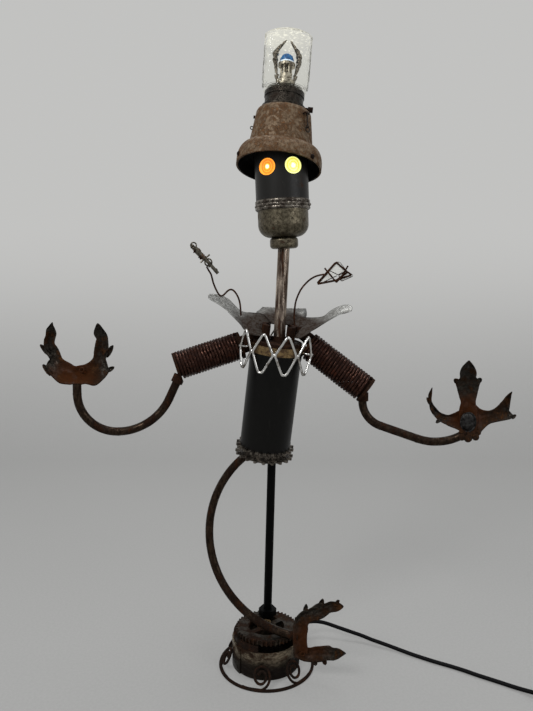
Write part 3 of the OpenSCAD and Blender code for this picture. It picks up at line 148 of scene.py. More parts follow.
class Graph:
    """The node tree of one material or of the world."""

    def __init__(self, name: str, world: bool = False) -> None:
        """Make a new material, or the world, with an empty tree.

        Args:
            name: Name of the material or world.
            world: Make a world.
        """
        self.owner = (bpy.data.worlds if world else bpy.data.materials).new(name)
        self.owner.use_nodes = True
        self.tree = self.owner.node_tree
        self.tree.nodes.clear()

    def node(self, kind: str, settings: Optional[dict] = None,
             feeds: Optional[dict[Union[int, str], Feed]] = None) -> Node:
        """Add a node.

        Args:
            kind: Blender's type name.
            settings: Properties that are set first; "stops" fills a ramp with (place, colour) pairs.
            feeds: Values or links for its sockets, by index or name.
        Returns:
            The node.
        """
        node = self.tree.nodes.new(kind)
        for key, value in (settings or {}).items():
            if key == "stops":
                ramp = node.color_ramp
                while len(ramp.elements) < len(value):
                    ramp.elements.new(0.5)
                for stop, (place, colour) in zip(ramp.elements, value):
                    stop.position = place
                    stop.color = (*colour, 1.0)
            else:
                setattr(node, key, value)
        for key, feed in (feeds or {}).items():
            socket = node.inputs[key]
            if isinstance(feed, Value):
                self.tree.links.new(feed.socket, socket)
            elif isinstance(feed, Socket):
                self.tree.links.new(feed, socket)
            else:
                if hasattr(socket.default_value, "__len__") and len(socket.default_value) == 4:
                    feed = (*feed, 1.0) if len(feed) == 3 else feed
                socket.default_value = feed
        return node

    def place(self, stretch: Point = (1.0, 1.0, 1.0), shift: Point = (0.0, 0.0, 0.0)) -> Socket:
        """Places on the object, scaled and shifted.

        Args:
            stretch: Scale along each axis.
            shift: Move along each axis, in metres.
        Returns:
            The vector socket.
        """
        where = self.node("ShaderNodeTexCoord")
        mapped = self.node("ShaderNodeMapping", {}, {0: where.outputs["Object"], 1: shift, 3: stretch})
        return mapped.outputs[0]

    def about(self, point: Point) -> Socket:
        """Places on the object, measured from a point in metres."""
        return self.place(shift=tuple(-c for c in point))

    def height(self) -> Value:
        """Height on the object, in metres."""
        return Value(self, self.node("ShaderNodeSeparateXYZ", {}, {0: self.place()}).outputs["Z"])

    def vector(self, operation: str, *feeds: Feed) -> Node:
        """One Vector Math node on its operands."""
        return self.node("ShaderNodeVectorMath", {"operation": operation}, dict(enumerate(feeds)))

    def number(self, operation: str, *feeds: Feed) -> Value:
        """A Vector Math node that gives a number."""
        return Value(self, self.vector(operation, *feeds).outputs["Value"])

    def in_view(self) -> Value:
        """One for rays that start at the camera, reflections and views through glass included.

        Returns:
            The value.
        """
        path = self.node("ShaderNodeLightPath")
        camera, glossy, through = (Value(self, path.outputs[f"Is {kind} Ray"])
                                   for kind in ("Camera", "Glossy", "Transmission"))
        return camera.largest(glossy).largest(through)

    def cloud(self, size: float, detail: float = 6.0, rough: float = 0.6,
              stretch: Point = (1.0, 1.0, 1.0), shift: Point = (0.0, 0.0, 0.0)) -> Value:
        """Soft noise with blotches of about a size in metres.

        Args:
            size: Size of a blotch.
            detail: Octaves.
            rough: How strong the fine octaves are.
            stretch: Scale along each axis before the noise.
            shift: Move of the pattern.
        Returns:
            A value around 0.5.
        """
        node = self.node("ShaderNodeTexNoise", {},
                         {"Vector": self.place(stretch, shift), "Scale": 1.0 / size,
                          "Detail": detail, "Roughness": rough})
        return Value(self, node.outputs[0])

    def pits(self, size: float, shift: Point = (0.0, 0.0, 0.0)) -> Value:
        """Distance to the nearest of scattered pits, 0 in a pit.

        Args:
            size: Spacing of the pits in metres.
            shift: Move of the pattern.
        Returns:
            The distance, in spacings.
        """
        node = self.node("ShaderNodeTexVoronoi", {"feature": "F1"},
                         {"Vector": self.place(shift=shift), "Scale": 1.0 / size})
        return Value(self, node.outputs["Distance"])

    def blend(self, factor: Number, first: Feed, second: Feed) -> Socket:
        """Mix two colours or colour sockets: a factor of 0 gives the first, 1 the second."""
        node = self.node("ShaderNodeMix", {"data_type": "RGBA"}, {0: factor, 6: first, 7: second})
        return node.outputs[2]

    def relief(self, height: Value, depth: float, strength: float = 1.0) -> Socket:
        """A normal bumped by a height of 0 to 1, where 1 means a depth in metres."""
        node = self.node("ShaderNodeBump", {}, {"Height": height, "Distance": depth, "Strength": strength})
        return node.outputs[0]

    def mix(self, share: Value, first: Node, second: Node) -> Node:
        """Blend two shaders: a share of 0 gives the first, 1 the second."""
        return self.node("ShaderNodeMixShader", {}, {0: share, 1: first.outputs[0], 2: second.outputs[0]})

    def close(self, shader: Node, kind: str = "Material") -> bpy.types.ID:
        """Join a shader to the output and give the finished material or world."""
        self.node("ShaderNodeOutput" + kind, {}, {0: shader.outputs[0]})
        return self.owner

    def principled(self, **feeds: Feed) -> Node:
        """The main shader, its sockets named with _ for a space."""
        return self.node("ShaderNodeBsdfPrincipled", {},
                         {key.replace("_", " "): feed for key, feed in feeds.items()})


# ------------------------------------------------------------------ finishes

# The colour that a piece darkens to towards its bottom.
BOTTOM_DARK = (0.008, 0.006, 0.005)
# Colour inside hollows such as the hat's crown: black paint and painted shade.
HOLLOW_PAINT_AND_SHADE = (0.006, 0.005, 0.004)


def faded(colour: Colour, share: float) -> Colour:
    """A colour times a share."""
    return tuple(c * share for c in colour)


class Wear(Enum):
    """How far rust has gone on a piece."""

    SPECKS = 0.66
    PATCHES = 0.56
    HEAVY = 0.47
    COVERED = 0.34


@dataclass(frozen=True)
class Iron:
    """Bare or once painted metal under rust, with scale, pits and rubbed places."""

    name: str
    metal: Colour
    dark: Colour
    rust: Colour = (0.115, 0.042, 0.018)
    bright_rust: Colour = (0.34, 0.115, 0.03)
    wear: Wear = Wear.PATCHES
    blotch: float = 0.014
    rough: float = 0.45
    shine: float = 0.85
    depth: float = 0.0006
    stretch: Point = (1.0, 1.0, 1.0)
    axis_at: Optional[Point] = None
    axis: Point = (0.0, 0.0, 1.0)
    darker_below: Optional[tuple[float, float]] = None
    gloss: float = 0.25
    core: Optional[Point] = None
    core_reach: tuple[float, float] = (0.02, 0.05)
    core_tone: Colour = (0.12, 0.04, 0.01)
    core_cover: float = 0.6
    fine: float = 0.0011
    grain: float = 0.0045
    pit: float = 0.0042
    soft_edge: float = 0.055
    rust_rough: float = 0.86

    def hollow(self, g: Graph) -> Value:
        """Find the walls that face the axis, which get black paint and painted shade.

        Args:
            g: The graph of the material.
        Returns:
            One on those walls, and zero outside.
        """
        place = g.about(self.axis_at)
        along = g.vector("PROJECT", place, self.axis)
        away = g.vector("SUBTRACT", place, along.outputs[0])
        facing = g.node("ShaderNodeNewGeometry")
        return g.number("DOT_PRODUCT", away.outputs[0], facing.outputs["Normal"]).fade(-0.004, 0.0, 1.0, 0.0)

    def make(self) -> Material:
        """Build the material.

        Returns:
            The material.
        """
        g = Graph(self.name)
        broad = g.cloud(self.blotch * 2.4, 5.0, 0.62, self.stretch)
        mid = g.cloud(self.blotch, 8.0, 0.66, self.stretch, (0.3, 0.1, 0.7))
        fine = g.cloud(self.fine, 5.0, 0.7)
        grain = g.cloud(self.grain, 6.0, 0.7, self.stretch, (0.9, 0.4, 0.2))
        pit = g.pits(self.pit).fade(0.08, 0.3)
        edge = self.wear.value - 0.06
        rusty = (broad * 0.55 + mid * 0.45).fade(edge - self.soft_edge, edge + self.soft_edge)
        hot = (mid * 0.6 + fine * 0.4).fade(0.5, 0.64) * rusty
        tone = g.blend(grain.fade(0.32, 0.7), self.dark, self.metal)
        aged = g.blend(fine.fade(0.36, 0.66), faded(self.rust, 0.5), self.rust)
        aged = g.blend(hot * 0.8, aged, self.bright_rust)
        colour = g.blend(rusty, tone, aged)
        colour = g.blend((1 - pit) * 0.6, colour, faded(self.dark, 0.25))
        shine = (1 - rusty * 0.86) * self.shine
        roughness = rusty * (self.rust_rough - self.rough) + self.rough + (fine - 0.5) * 0.22
        if self.core is not None:
            away = g.number("LENGTH", g.about(self.core)) + (mid - 0.5) * 0.05
            near = away.fade(*self.core_reach, 1.0, 0.0)
            colour = g.blend(near * grain.fade(0.3, 0.62, self.core_cover, 1.0), colour, self.core_tone)
            shine = shine * (1 - near * 0.85)
            roughness = roughness + near * 0.25
        # Darker towards the bottom.
        if self.darker_below is not None:
            low = g.height() + (broad - 0.5) * 0.02
            colour = g.blend(low.fade(*self.darker_below, 0.92, 0.0), colour, BOTTOM_DARK)
        # Inner walls of a hollow are darkened: black paint and painted shade.
        if self.axis_at is not None:
            colour = g.blend(self.hollow(g), colour, HOLLOW_PAINT_AND_SHADE)
        height = grain * 0.45 + fine * 0.25 + rusty * 0.25 + pit * 0.3
        return g.close(g.principled(
            Base_Color=colour, Metallic=shine, Roughness=roughness, Specular_IOR_Level=self.gloss,
            Normal=g.relief(height, self.depth, 0.75)))


@dataclass(frozen=True)
class Enamel:
    """Old satin paint with rub marks down to bare metal and a few rust blooms."""

    name: str
    paint: Colour
    worn: Colour = (0.12, 0.11, 0.10)
    rust: Colour = (0.13, 0.055, 0.026)
    rough: float = 0.34
    bloom: float = 0.63
    bloom_edge: float = 0.06
    coat: float = 0.06
    gloss: float = 0.2
    depth: float = 0.0003

    def make(self) -> Material:
        """Build the material.

        Returns:
            The material.
        """
        g = Graph(self.name)
        cloud = g.cloud(0.03, 6.0, 0.6)
        streak = g.cloud(0.006, 6.0, 0.65, (1.0, 1.0, 0.16))
        fine = g.cloud(0.0009, 4.0, 0.7)
        scratch = g.cloud(0.0016, 3.0, 0.8, (1.0, 1.0, 0.05), (0.5, 0.2, 0.8)).fade(0.66, 0.72)
        rub = (cloud * 0.4 + streak * 0.6).fade(0.55, 0.68)
        bloom = (cloud * 0.6 + fine * 0.4).fade(self.bloom - self.bloom_edge, self.bloom)
        colour = g.blend(rub * 0.5, self.paint, self.worn)
        colour = g.blend(scratch * 0.55, colour, faded(self.worn, 1.8))
        colour = g.blend(bloom, colour, self.rust)
        return g.close(g.principled(
            Base_Color=colour, Metallic=rub * 0.35 + scratch * 0.3,
            Roughness=self.rough + (streak - 0.5) * 0.35 + bloom * 0.4,
            Coat_Weight=self.coat * (1 - bloom), Coat_Roughness=0.25, Specular_IOR_Level=self.gloss,
            Normal=g.relief(fine * 0.4 + streak * 0.3 + bloom * 0.5, self.depth, 0.6)))


@dataclass(frozen=True)
class Bright:
    """Polished or plated metal with finger marks, fine lines and dull places."""

    name: str
    metal: Colour
    dull: Colour
    rough: float = 0.16
    tarnish: float = 0.5
    blotch: float = 0.008
    depth: float = 0.0002

    def make(self) -> Material:
        """Build the material.

        Returns:
            The material.
        """
        g = Graph(self.name)
        cloud = g.cloud(self.blotch, 6.0, 0.65)
        fine = g.cloud(0.0008, 4.0, 0.7)
        dull = cloud.fade(0.62 - 0.24 * self.tarnish, 0.7 - 0.12 * self.tarnish)
        return g.close(g.principled(
            Base_Color=g.blend(dull, self.metal, self.dull), Metallic=1 - dull * 0.25,
            Roughness=self.rough + dull * 0.34 + (fine - 0.5) * 0.12,
            Normal=g.relief(fine * 0.5 + cloud * 0.5, self.depth, 0.5)))


@dataclass(frozen=True)
class Moulded:
    """Rubber, plastic or glazed ceramic with a fine skin and light soiling."""

    name: str
    body: Colour
    soil: Colour
    rough: float = 0.5
    coat: float = 0.0
    gloss: float = 0.3
    skin: float = 0.0009
    depth: float = 0.00008

    def make(self) -> Material:
        """Build the material.

        Returns:
            The material.
        """
        g = Graph(self.name)
        skin = g.cloud(self.skin, 4.0, 0.6)
        dirty = g.cloud(0.012, 5.0, 0.6).fade(0.58, 0.73)
        return g.close(g.principled(
            Base_Color=g.blend(dirty * 0.7, self.body, self.soil),
            Roughness=self.rough + (skin - 0.5) * 0.2 + dirty * 0.12, Specular_IOR_Level=self.gloss,
            Coat_Weight=self.coat * (1 - dirty), Coat_Roughness=0.15,
            Normal=g.relief(skin, self.depth, 0.7)))


@dataclass(frozen=True)
class ClearGlass:
    """Pressed glass with flow lines, seeds and slight waves, and highlights painted on its shoulder as
    glowing flecks.
    """

    name: str
    tint: Colour = (1.0, 1.0, 0.975)
    # Highlights are painted as glow. The fields below set the glint colour, the heights of the shoulder
    # flecks and of the top line, the share of an even faint glow, and the glow strength.
    painted_glint_colour: Colour = (1.0, 0.96, 0.76)
    bend: float = 1.11
    rough: float = 0.02
    depth: float = 0.0018
    shoulder: tuple[float, float] = (0.893, 0.912)
    top: tuple[float, float] = (0.9165, 0.921)
    even_painted_glow: float = 0.04
    glow: float = 0.25

    def painted_glints(self, g: Graph) -> Value:
        """Where highlights are painted on the glass as glow: flecks on the shoulder, a line round the top and
        a faint glow all over.

        Args:
            g: The graph of the material.
        Returns:
            0 for clear glass to 1 for a painted highlight.
        """
        height = g.height()
        fleck = g.cloud(0.0055, 2.0, 0.5, (1.0, 1.0, 1.9), (0.1, 0.8, 0.4)).fade(0.6, 0.67)
        return height.fade(*self.shoulder) * fleck + height.fade(*self.top) * 0.25 + self.even_painted_glow

    def make(self) -> Material:
        """Build the material.

        Returns:
            The material.
        """
        g = Graph(self.name)
        wave = g.cloud(0.010, 3.0, 0.5, (1.0, 1.0, 0.6))
        seed = g.pits(0.009, (0.2, 0.5, 0.1)).fade(0.05, 0.11)
        smear = g.cloud(0.02, 5.0, 0.6, shift=(0.6, 0.1, 0.3)).fade(0.5, 0.75)
        glass = g.principled(
            Base_Color=g.blend(smear * 0.4, self.tint, faded(self.tint, 0.96)),
            Roughness=smear * 0.05 + self.rough, Transmission_Weight=1.0, IOR=self.bend,
            # The emission paints highlights on the glass: flecks, a line round the top and a faint even glow.
            Emission_Color=g.blend(self.painted_glints(g), (0.0, 0.0, 0.0), self.painted_glint_colour), Emission_Strength=self.glow,
            Normal=g.relief(wave * 0.8 + seed * 0.2, self.depth, 0.8))
        clear = g.node("ShaderNodeBsdfTransparent", {}, {0: (0.97, 0.98, 0.97)})
        shadow = Value(g, g.node("ShaderNodeLightPath").outputs["Is Shadow Ray"])
        return g.close(g.mix(shadow * 0.85, glass, clear))


@dataclass(frozen=True)
class LitLens:
    """A coloured lens with a lamp behind it: a white heart, a bright ring and a darker rim."""

    name: str
    centre: Point
    heart: Colour
    ring: Colour
    rim: Colour
    radius: float = 0.0122
    power: float = 1.25

    def make(self) -> Material:
        """Build the material.

        Returns:
            The material.
        """
        g = Graph(self.name)
        flutes = g.cloud(0.0016, 2.0, 0.5)
        reach = g.number("LENGTH", g.about(self.centre)) / self.radius + (flutes - 0.5) * 0.22
        stops = [(0.12, (1.0, 1.0, 0.9)), (0.28, self.heart), (0.42, self.ring), (0.56, self.rim),
                 (0.72, self.ring), (0.88, self.rim)]
        glow = g.node("ShaderNodeValToRGB", {"stops": stops}, {0: reach}).outputs[0]
        return g.close(g.principled(
            Base_Color=glow, Roughness=0.12 + (flutes - 0.5) * 0.1, Emission_Color=glow,
            Emission_Strength=self.power, Coat_Weight=0.6, Normal=g.relief(flutes, 0.0004, 0.6)))


@dataclass(frozen=True)
class Dome:
    """A glossy blue glass cap with a painted reflection: a pale ring round its foot."""

    name: str
    base: Point
    axis: Point
    reflection_at: float
    reflection_half: tuple[float, float] = (0.0006, 0.0011)
    blue: Colour = (0.002, 0.1, 0.27)
    deep: Colour = (0.001, 0.045, 0.15)
    # The line colour is that of the painted reflection ring, which the emission also makes shine.
    line: Colour = (0.62, 0.74, 0.86)
    glow: float = 0.25

    def make(self) -> Material:
        """Build the material.

        Returns:
            The material.
        """
        g = Graph(self.name)
        up = g.number("DOT_PRODUCT", g.about(self.base), self.axis)
        cloud = g.cloud(0.006, 4.0, 0.5)
        inner, outer = self.reflection_half
        # band marks where the painted reflection ring lies.
        band = up.fade(self.reflection_at - outer, self.reflection_at - inner) * up.fade(
            self.reflection_at + inner, self.reflection_at + outer, 1.0, 0.0)
        colour = g.blend(band, g.blend(cloud.fade(0.3, 0.7), self.deep, self.blue), self.line)
        return g.close(g.principled(
            Base_Color=colour, Roughness=0.3 + cloud * 0.1, Specular_IOR_Level=0.3, Emission_Color=colour,
            Emission_Strength=self.glow, Normal=g.relief(cloud, 0.0002, 0.4)))


# ------------------------------------------------------------------ mesh writing

@dataclass(frozen=True)
class Seat:
    """A place on the lamp: an origin in millimetres with a tilt back and a lean to the side."""

    origin: Point
    pitch: float
    lean: float

    def matrix(self) -> Matrix:
        """The place as a matrix in metres."""
        turn = Euler((math.radians(self.pitch), math.radians(self.lean), 0.0), "XYZ").to_matrix().to_4x4()
        return Matrix.Translation(Vector(self.origin) * MM) @ turn

    def point(self, up: float) -> Point:
        """A point on its axis in metres, some millimetres up."""
        return tuple(self.matrix() @ (UPRIGHT * up * MM))

    def axis(self) -> Point:
        """The way that it points up."""
        return tuple(self.matrix().to_3x3() @ UPRIGHT)

    def eye(self, across: float) -> Point:
        """Find the middle of a lens on the face.

        Args:
            across: Its place across the face, in millimetres.
        Returns:
            The place in metres.
        """
        yaw = math.radians(FACE_YAW)
        place = Vector((across * math.cos(yaw) + FACE_OUT * math.sin(yaw),
                        across * math.sin(yaw) - FACE_OUT * math.cos(yaw), EYE_UP))
        return tuple(self.matrix() @ (place * MM))


FACE_YAW, FACE_OUT, EYE_UP = -2.2, 33.0, 103.0
TORSO = Seat((-1.460, 23.963, 339.916), 7.5, 6.5)
HEAD = Seat((25.497, 6.108, 634.704), 3.0, -2.4)
HAT = Seat((17.232, 0.140, 738.780), -2.5, 5.5)
JAR = Seat((23.889, 3.717, 820.440), -2.5, 4.3)


OFF_AXIS = Vector((0.31, 0.17, 0.94))


def circle(steps: int) -> list[tuple[float, float]]:
    """Cosine and sine of even steps round a circle."""
    return [(math.cos(a), math.sin(a)) for a in (2 * math.pi * k / steps for k in range(steps))]


def both_sides(across: int) -> list[tuple[int, float]]:
    """Steps round a flat strip: side 1 or -1, and the place across from 0 to 1."""
    there = [(1, k / across) for k in range(across + 1)]
    return there + [(-1, 1 - k / across) for k in range(1, across)]


def edge_round(t: float, power: int) -> float:
    """Share of a strip's thickness at a place across it; more power gives squarer edges."""
    return math.sqrt(max(0.0, 1 - (2 * t - 1) ** power))


def add_object(name: str, data: bpy.types.ID) -> Object:
    """Put new data into the scene.

    Args:
        name: The object's name.
        data: Its mesh, curve, lamp or camera data.
    Returns:
        The object.
    """
    thing = bpy.data.objects.new(name, data)
    bpy.context.scene.collection.objects.link(thing)
    return thing


class Shape:
    """A mesh in the making; lengths are millimetres until it is finished."""

    wide = 25.0
    square_edge = 8

    def __init__(self) -> None:
        """Start with nothing."""
        self.bm = bmesh.new()

    def grid(self, rows: Sequence[Sequence[Vector]], wrap: bool = False, close: bool = False) -> list[list]:
        """Skin rows of points.

        Args:
            rows: Rows of equal length.
            wrap: Join each row's ends.
            close: Join the last row to the first.
        Returns:
            The vertices, row by row.
        """
        made = [[self.bm.verts.new(p) for p in row] for row in rows]
        count = len(made[0])
        for i in range(len(made) if close else len(made) - 1):
            low, high = made[i], made[(i + 1) % len(made)]
            for k in range(count if wrap else count - 1):
                m = (k + 1) % count
                self.bm.faces.new((low[k], low[m], high[m], high[k]))
        return made

    def cap_ends(self, rows: Sequence[Sequence]) -> None:
        """Close the first and the last row with one face each."""
        self.bm.faces.new(list(reversed(rows[0])))
        self.bm.faces.new(list(rows[-1]))

    def tube(self, line: Sequence[Vector], radius: Union[float, Callable[[float], float]], sides: int = 10,
             closed: bool = False) -> None:
        """A round bar along a line.

        Args:
            line: Its middle.
            radius: Its radius, or a function of the share of its length.
            sides: Faces round it.
            closed: Join its ends.
        """
        last = len(line) - 1
        rows, up, around = [], OFF_AXIS.normalized(), circle(sides)
        for i, point in enumerate(line):
            before = line[(i - 1) % len(line)] if closed else line[max(i - 1, 0)]
            after = line[(i + 1) % len(line)] if closed else line[min(i + 1, last)]
            along = (after - before).normalized()
            up = (up - along * up.dot(along)).normalized()
            side = along.cross(up)
            r = radius(i / last) if callable(radius) else radius
            rows.append([point + r * (c * side + s * up) for c, s in around])
        made = self.grid(rows, wrap=True, close=closed)
        if not closed:
            self.cap_ends(made)

    def ring(self, centre: Vector, first: Vector, second: Vector, radius: float, steps: int,
             sides: int = 8) -> None:
        """A closed ring of round bar; first and second go from its centre, a quarter turn apart."""
        self.tube([centre + c * first + s * second for c, s in circle(steps)], radius, sides, closed=True)

    def sheet(self, first: Sequence[Vector], second: Sequence[Vector], thick: float, bow: float = 0.0,
              across: int = 8) -> None:
        """A closed sheet of even thickness between two edges.

        Args:
            first: Points of one edge.
            second: Points of the other, one to each of them.
            thick: Its thickness.
            bow: How far its middle lies below a straight line across it, where it is wide.
            across: Faces across it.
        """
        rows, last = [], len(first) - 1
        for i, (a, b) in enumerate(zip(first, second)):
            ahead, behind = min(i + 1, last), max(i - 1, 0)
            along = (first[ahead] + second[ahead] - first[behind] - second[behind]).normalized()
            normal = along.cross(b - a).normalized()
            normal = normal if normal.z > 0 else -normal
            deep = bow * min(1.0, (b - a).length / self.wide)
            rows.append([a.lerp(b, t) + normal * (side * edge_round(t, self.square_edge) * thick / 2
                                                  - deep * math.sin(math.pi * t))
                         for side, t in both_sides(across)])
        self.cap_ends(self.grid(rows, wrap=True))

    def ball(self, centre: Vector, radius: float, squash: Point = (1.0, 1.0, 1.0)) -> None:
        """A round lump.

        Args:
            centre: Its centre.
            radius: Its radius.
            squash: Scale along each axis.
        """
        new = bmesh.ops.create_icosphere(self.bm, subdivisions=2, radius=radius)["verts"]
        for vert in new:
            vert.co = Vector(c * s for c, s in zip(vert.co, squash)) + centre

    def roughen(self, amount: float, size: float, seed: float = 0.0) -> None:
        """Push every vertex along its normal by soft noise.

        Args:
            amount: The largest push.
            size: Size of a bump.
            seed: Shift of the noise.
        """
        self.bm.normal_update()
        moves = [(v, v.normal * amount * noise.noise(v.co / size + Vector((seed, seed, seed))))
                 for v in self.bm.verts]
        for vert, move in moves:
            vert.co += move

    def finish(self, name: str, material: Material, body: str, slot: str,
               place: Optional[Matrix] = None, subdivide: int = 0,
               stands_for: Sequence[str] = ()) -> Object:
        """Turn the mesh into a piece of the lamp.

        Args:
            name: Name of the piece.
            material: Its finish.
            body: The body that it rides on.
            slot: Name of its finish's slot; not used.
            place: Where its millimetres are, if not in the lamp's own frame.
            subdivide: Levels of subdivision surface.
            stands_for: The solids that it replaces.
        Returns:
            The object, at the origin.
        """
        bmesh.ops.recalc_face_normals(self.bm, faces=self.bm.faces)
        for vert in self.bm.verts:
            vert.co *= MM
            if place is not None:
                vert.co = place @ vert.co
        mesh = bpy.data.meshes.new(name)
        self.bm.to_mesh(mesh)
        self.bm.free()
        mesh.materials.append(material)
        for polygon in mesh.polygons:
            polygon.use_smooth = True
        piece = add_object(name, mesh)
        if subdivide:
            modifier = piece.modifiers.new("smooth", "SUBSURF")
            modifier.levels = modifier.render_levels = subdivide
        if body:
            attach(piece, body)
        if stands_for:
            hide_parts(*stands_for)
        LOG.info("made %s (%d faces)", name, len(mesh.polygons))
        return piece


def dress(material: Material, *nodes: str) -> None:
    """Give solids their finish.

    Args:
        material: The finish.
        nodes: Names of the solids.
    """
    for name in nodes:
        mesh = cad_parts[name].data
        mesh.materials.clear()
        mesh.materials.append(material)
        LOG.info("dressed %s in %s", name, material.name)


def smooth_line(points: Sequence[Sequence[float]], steps: int) -> list[Vector]:
    """Points of a smooth curve through chosen points.

    Args:
        points: The chosen points.
        steps: Points to each span.
    Returns:
        The curve, its last point included.
    """
    knots = [Vector(p) for p in points]
    last = len(knots) - 1
    line = []
    for i in range(last):
        a, b, c, d = knots[max(i - 1, 0)], knots[i], knots[i + 1], knots[min(i + 2, last)]
        for k in range(steps):
            u = k / steps
            line.append(0.5 * (2 * b + (c - a) * u + (2 * a - 5 * b + 4 * c - d) * u * u
                               + (3 * b - 3 * c + d - a) * u ** 3))
    line.append(knots[-1])
    return line


# ------------------------------------------------------------------ sub-assemblies

@dataclass
class Leads:
    """The mains lead with its switch, coil, tie and plug."""

    diameter: float = 6.0
    fit: float = 0.985
    turns: tuple[int, int] = (3, 2)
    coil_middle: tuple[float, float] = (477.8, -113.4)
    coil_radius: float = 39.0
    coil_foot: float = 3.8
    turn_step: float = 6.05
    layer_step: float = 6.02
    turn_points: int = 24
    shift_from: float = 0.8
    plug_turn: float = 60.0
    tail: Rows = ((5.0, 0.1), (10.0, 0.5), (15.0, 1.0), (20.0, 1.5))
    route: tuple[Point, ...] = (
        (49.5, 55, 28), (58, 64, 28), (71, 71, 27), (85, 74, 25.5), (99, 73, 23), (113, 69, 20),
        (127, 65, 17), (141, 61, 14), (155, 56, 11.5), (169, 49, 9), (183, 42, 7.5), (197, 34.5, 6),
        (211, 26, 4.8), (225, 17, 4), (239, 8, 3.8), (253, -1, 3.8), (267, -9, 3.8),
        (281, -17, 3.8), (295, -26, 3.8), (309, -36, 3.8), (323, -45, 3.8), (337, -54, 3.8),
        (350, -63, 4), (362, -72, 5), (373, -80.5, 6.5), (384, -89, 7.5), (398, -100, 7.5),
        (412, -111, 7.2), (422, -119, 6.6), (428, -123.7, 6), (436, -130, 5), (445, -137.2, 4),
        (453.6, -144, 3.8))

    def turn(self, layer: int, index: int, start: float, sweep: float, out: float, up: float) -> list[Point]:
        """Points of one turn of the coil.

        Args:
            layer: Its layer, 0 on the table.
            index: Its place from the outside.
            start: Angle where it starts.
            sweep: Angle that it runs through.
            out: How far its end moves outward.
            up: How far its end climbs.
        Returns:
            The points after its start, in millimetres.
        """
        points = []
        for k in range(1, self.turn_points + 1):
            share = k / self.turn_points
            move = max(0.0, (share - self.shift_from) / (1 - self.shift_from))
            radius = self.coil_radius - index * self.turn_step + out * move
            angle = start + sweep * share
            points.append((self.coil_middle[0] + radius * math.cos(angle),
                           self.coil_middle[1] + radius * math.sin(angle),
                           self.coil_foot + layer * self.layer_step + up * move))
        return points

    def coil_points(self) -> list[Point]:
        """Points of the wound turns, from the outer turn's foot inward, up and out to the plug.

        Returns:
            The points, in millimetres.
        """
        columns, layers = self.turns
        foot = Vector(self.route[-1][:2]) - Vector(self.coil_middle)
        start, leave = math.atan2(foot.y, foot.x), math.radians(self.plug_turn)
        points = []
        for layer in range(layers):
            order = list(range(columns))[::1 if layer == 0 else -1]
            step = -self.turn_step if layer == 0 else self.turn_step
            for index in order:
                if index != order[-1]:
                    points += self.turn(layer, index, start, 2 * math.pi, step, 0.0)
                elif layer < layers - 1:
                    points += self.turn(layer, index, start, 2 * math.pi, 0.0, self.layer_step)
                else:
                    points += self.turn(layer, index, start, (leave - start) % (2 * math.pi), 0.0, 0.0)
        along, (x, y, z) = Vector((-math.sin(leave), math.cos(leave))), points[-1]
        return points + [(x + along.x * reach, y + along.y * reach, z - drop) for reach, drop in self.tail]

    def make(self, rubber: Material, plastic: Material, red: Material) -> None:
        """Lay the lead and dress what is on it.

        Args:
            rubber: Finish of the lead.
            plastic: Finish of the switch, tie and plug.
            red: Finish of the rocker.
        """
        curve = bpy.data.curves.new("mains_lead", "CURVE")
        curve.dimensions = "3D"
        curve.bevel_depth = self.diameter / 2 * MM * self.fit
        curve.bevel_resolution = 5
        curve.resolution_u = 4
        spline = curve.splines.new("POLY")
        line = smooth_line([*self.route, *self.coil_points()], 3)
        spline.points.add(len(line) - 1)
        for knot, place in zip(spline.points, line):
            knot.co = (*(place * MM), 1.0)
        curve.materials.append(rubber)
        lead = add_object("mains_lead", curve)
        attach(lead, "frame")
        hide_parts("cord", "cord_coil")
        real = sum((b - a).length for a, b in zip(line, line[1:])) * MM
        tuple(c * MM for c in self.route[0])
        dress(plastic, "coil_tie", "switch_body", "plug")
        dress(red, "switch_rocker")
        LOG.info("made mains_lead, %.3f m", real)


@dataclass
class Springs:
    """The two close wound shoulder springs."""

    wire: float = 4.2
    outer: float = 41.6
    pitch: float = 4.45
    swell: float = 1.085
    inset: float = 0.2
    sway: float = 0.15
    turn_points: int = 28
    left: tuple[Point, Point] = ((-40.21, 4.74, 485.5), (-127.97, -9.95, 457.45))
    right: tuple[Point, Point] = ((63.85, 5.81, 484.3), (142.96, -7.43, 423.09))

    def coil(self, side: str, ends: tuple[Point, Point], steel: Material) -> None:
        """Wind one spring between two points.

        Args:
            side: The side that it is on, left or right.
            ends: Its inner and outer ends.
            steel: Its finish.
        """
        name, body = f"{side}_coil", f"{side}_arm"
        start, end = (Vector(p) for p in ends)
        length = (end - start).length - self.wire
        along = (end - start).normalized()
        across = along.cross(UPRIGHT).normalized()
        up = across.cross(along)
        points = math.floor(length / self.pitch) * self.turn_points
        line = []
        for i in range(points + 1):
            share, angle = i / points, 2 * math.pi * i / self.turn_points
            sway = self.sway * noise.noise(Vector((share * 14.0, len(name), 0.3)))
            line.append(start + along * (self.wire / 2 + share * length)
                        + ((self.outer - self.wire) / 2 + sway - self.inset)
                        * (math.cos(angle) * up + math.sin(angle) * across))
        shape = Shape()
        shape.tube(line, self.wire / 2 * self.swell)
        piece = shape.finish(name, steel, "", "spring_steel", stands_for=(f"{side}_spring",))
        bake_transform(piece)

    def make(self, steel: Material) -> None:
        """Wind both springs."""
        self.coil("left", self.left, steel)
        self.coil("right", self.right, steel)


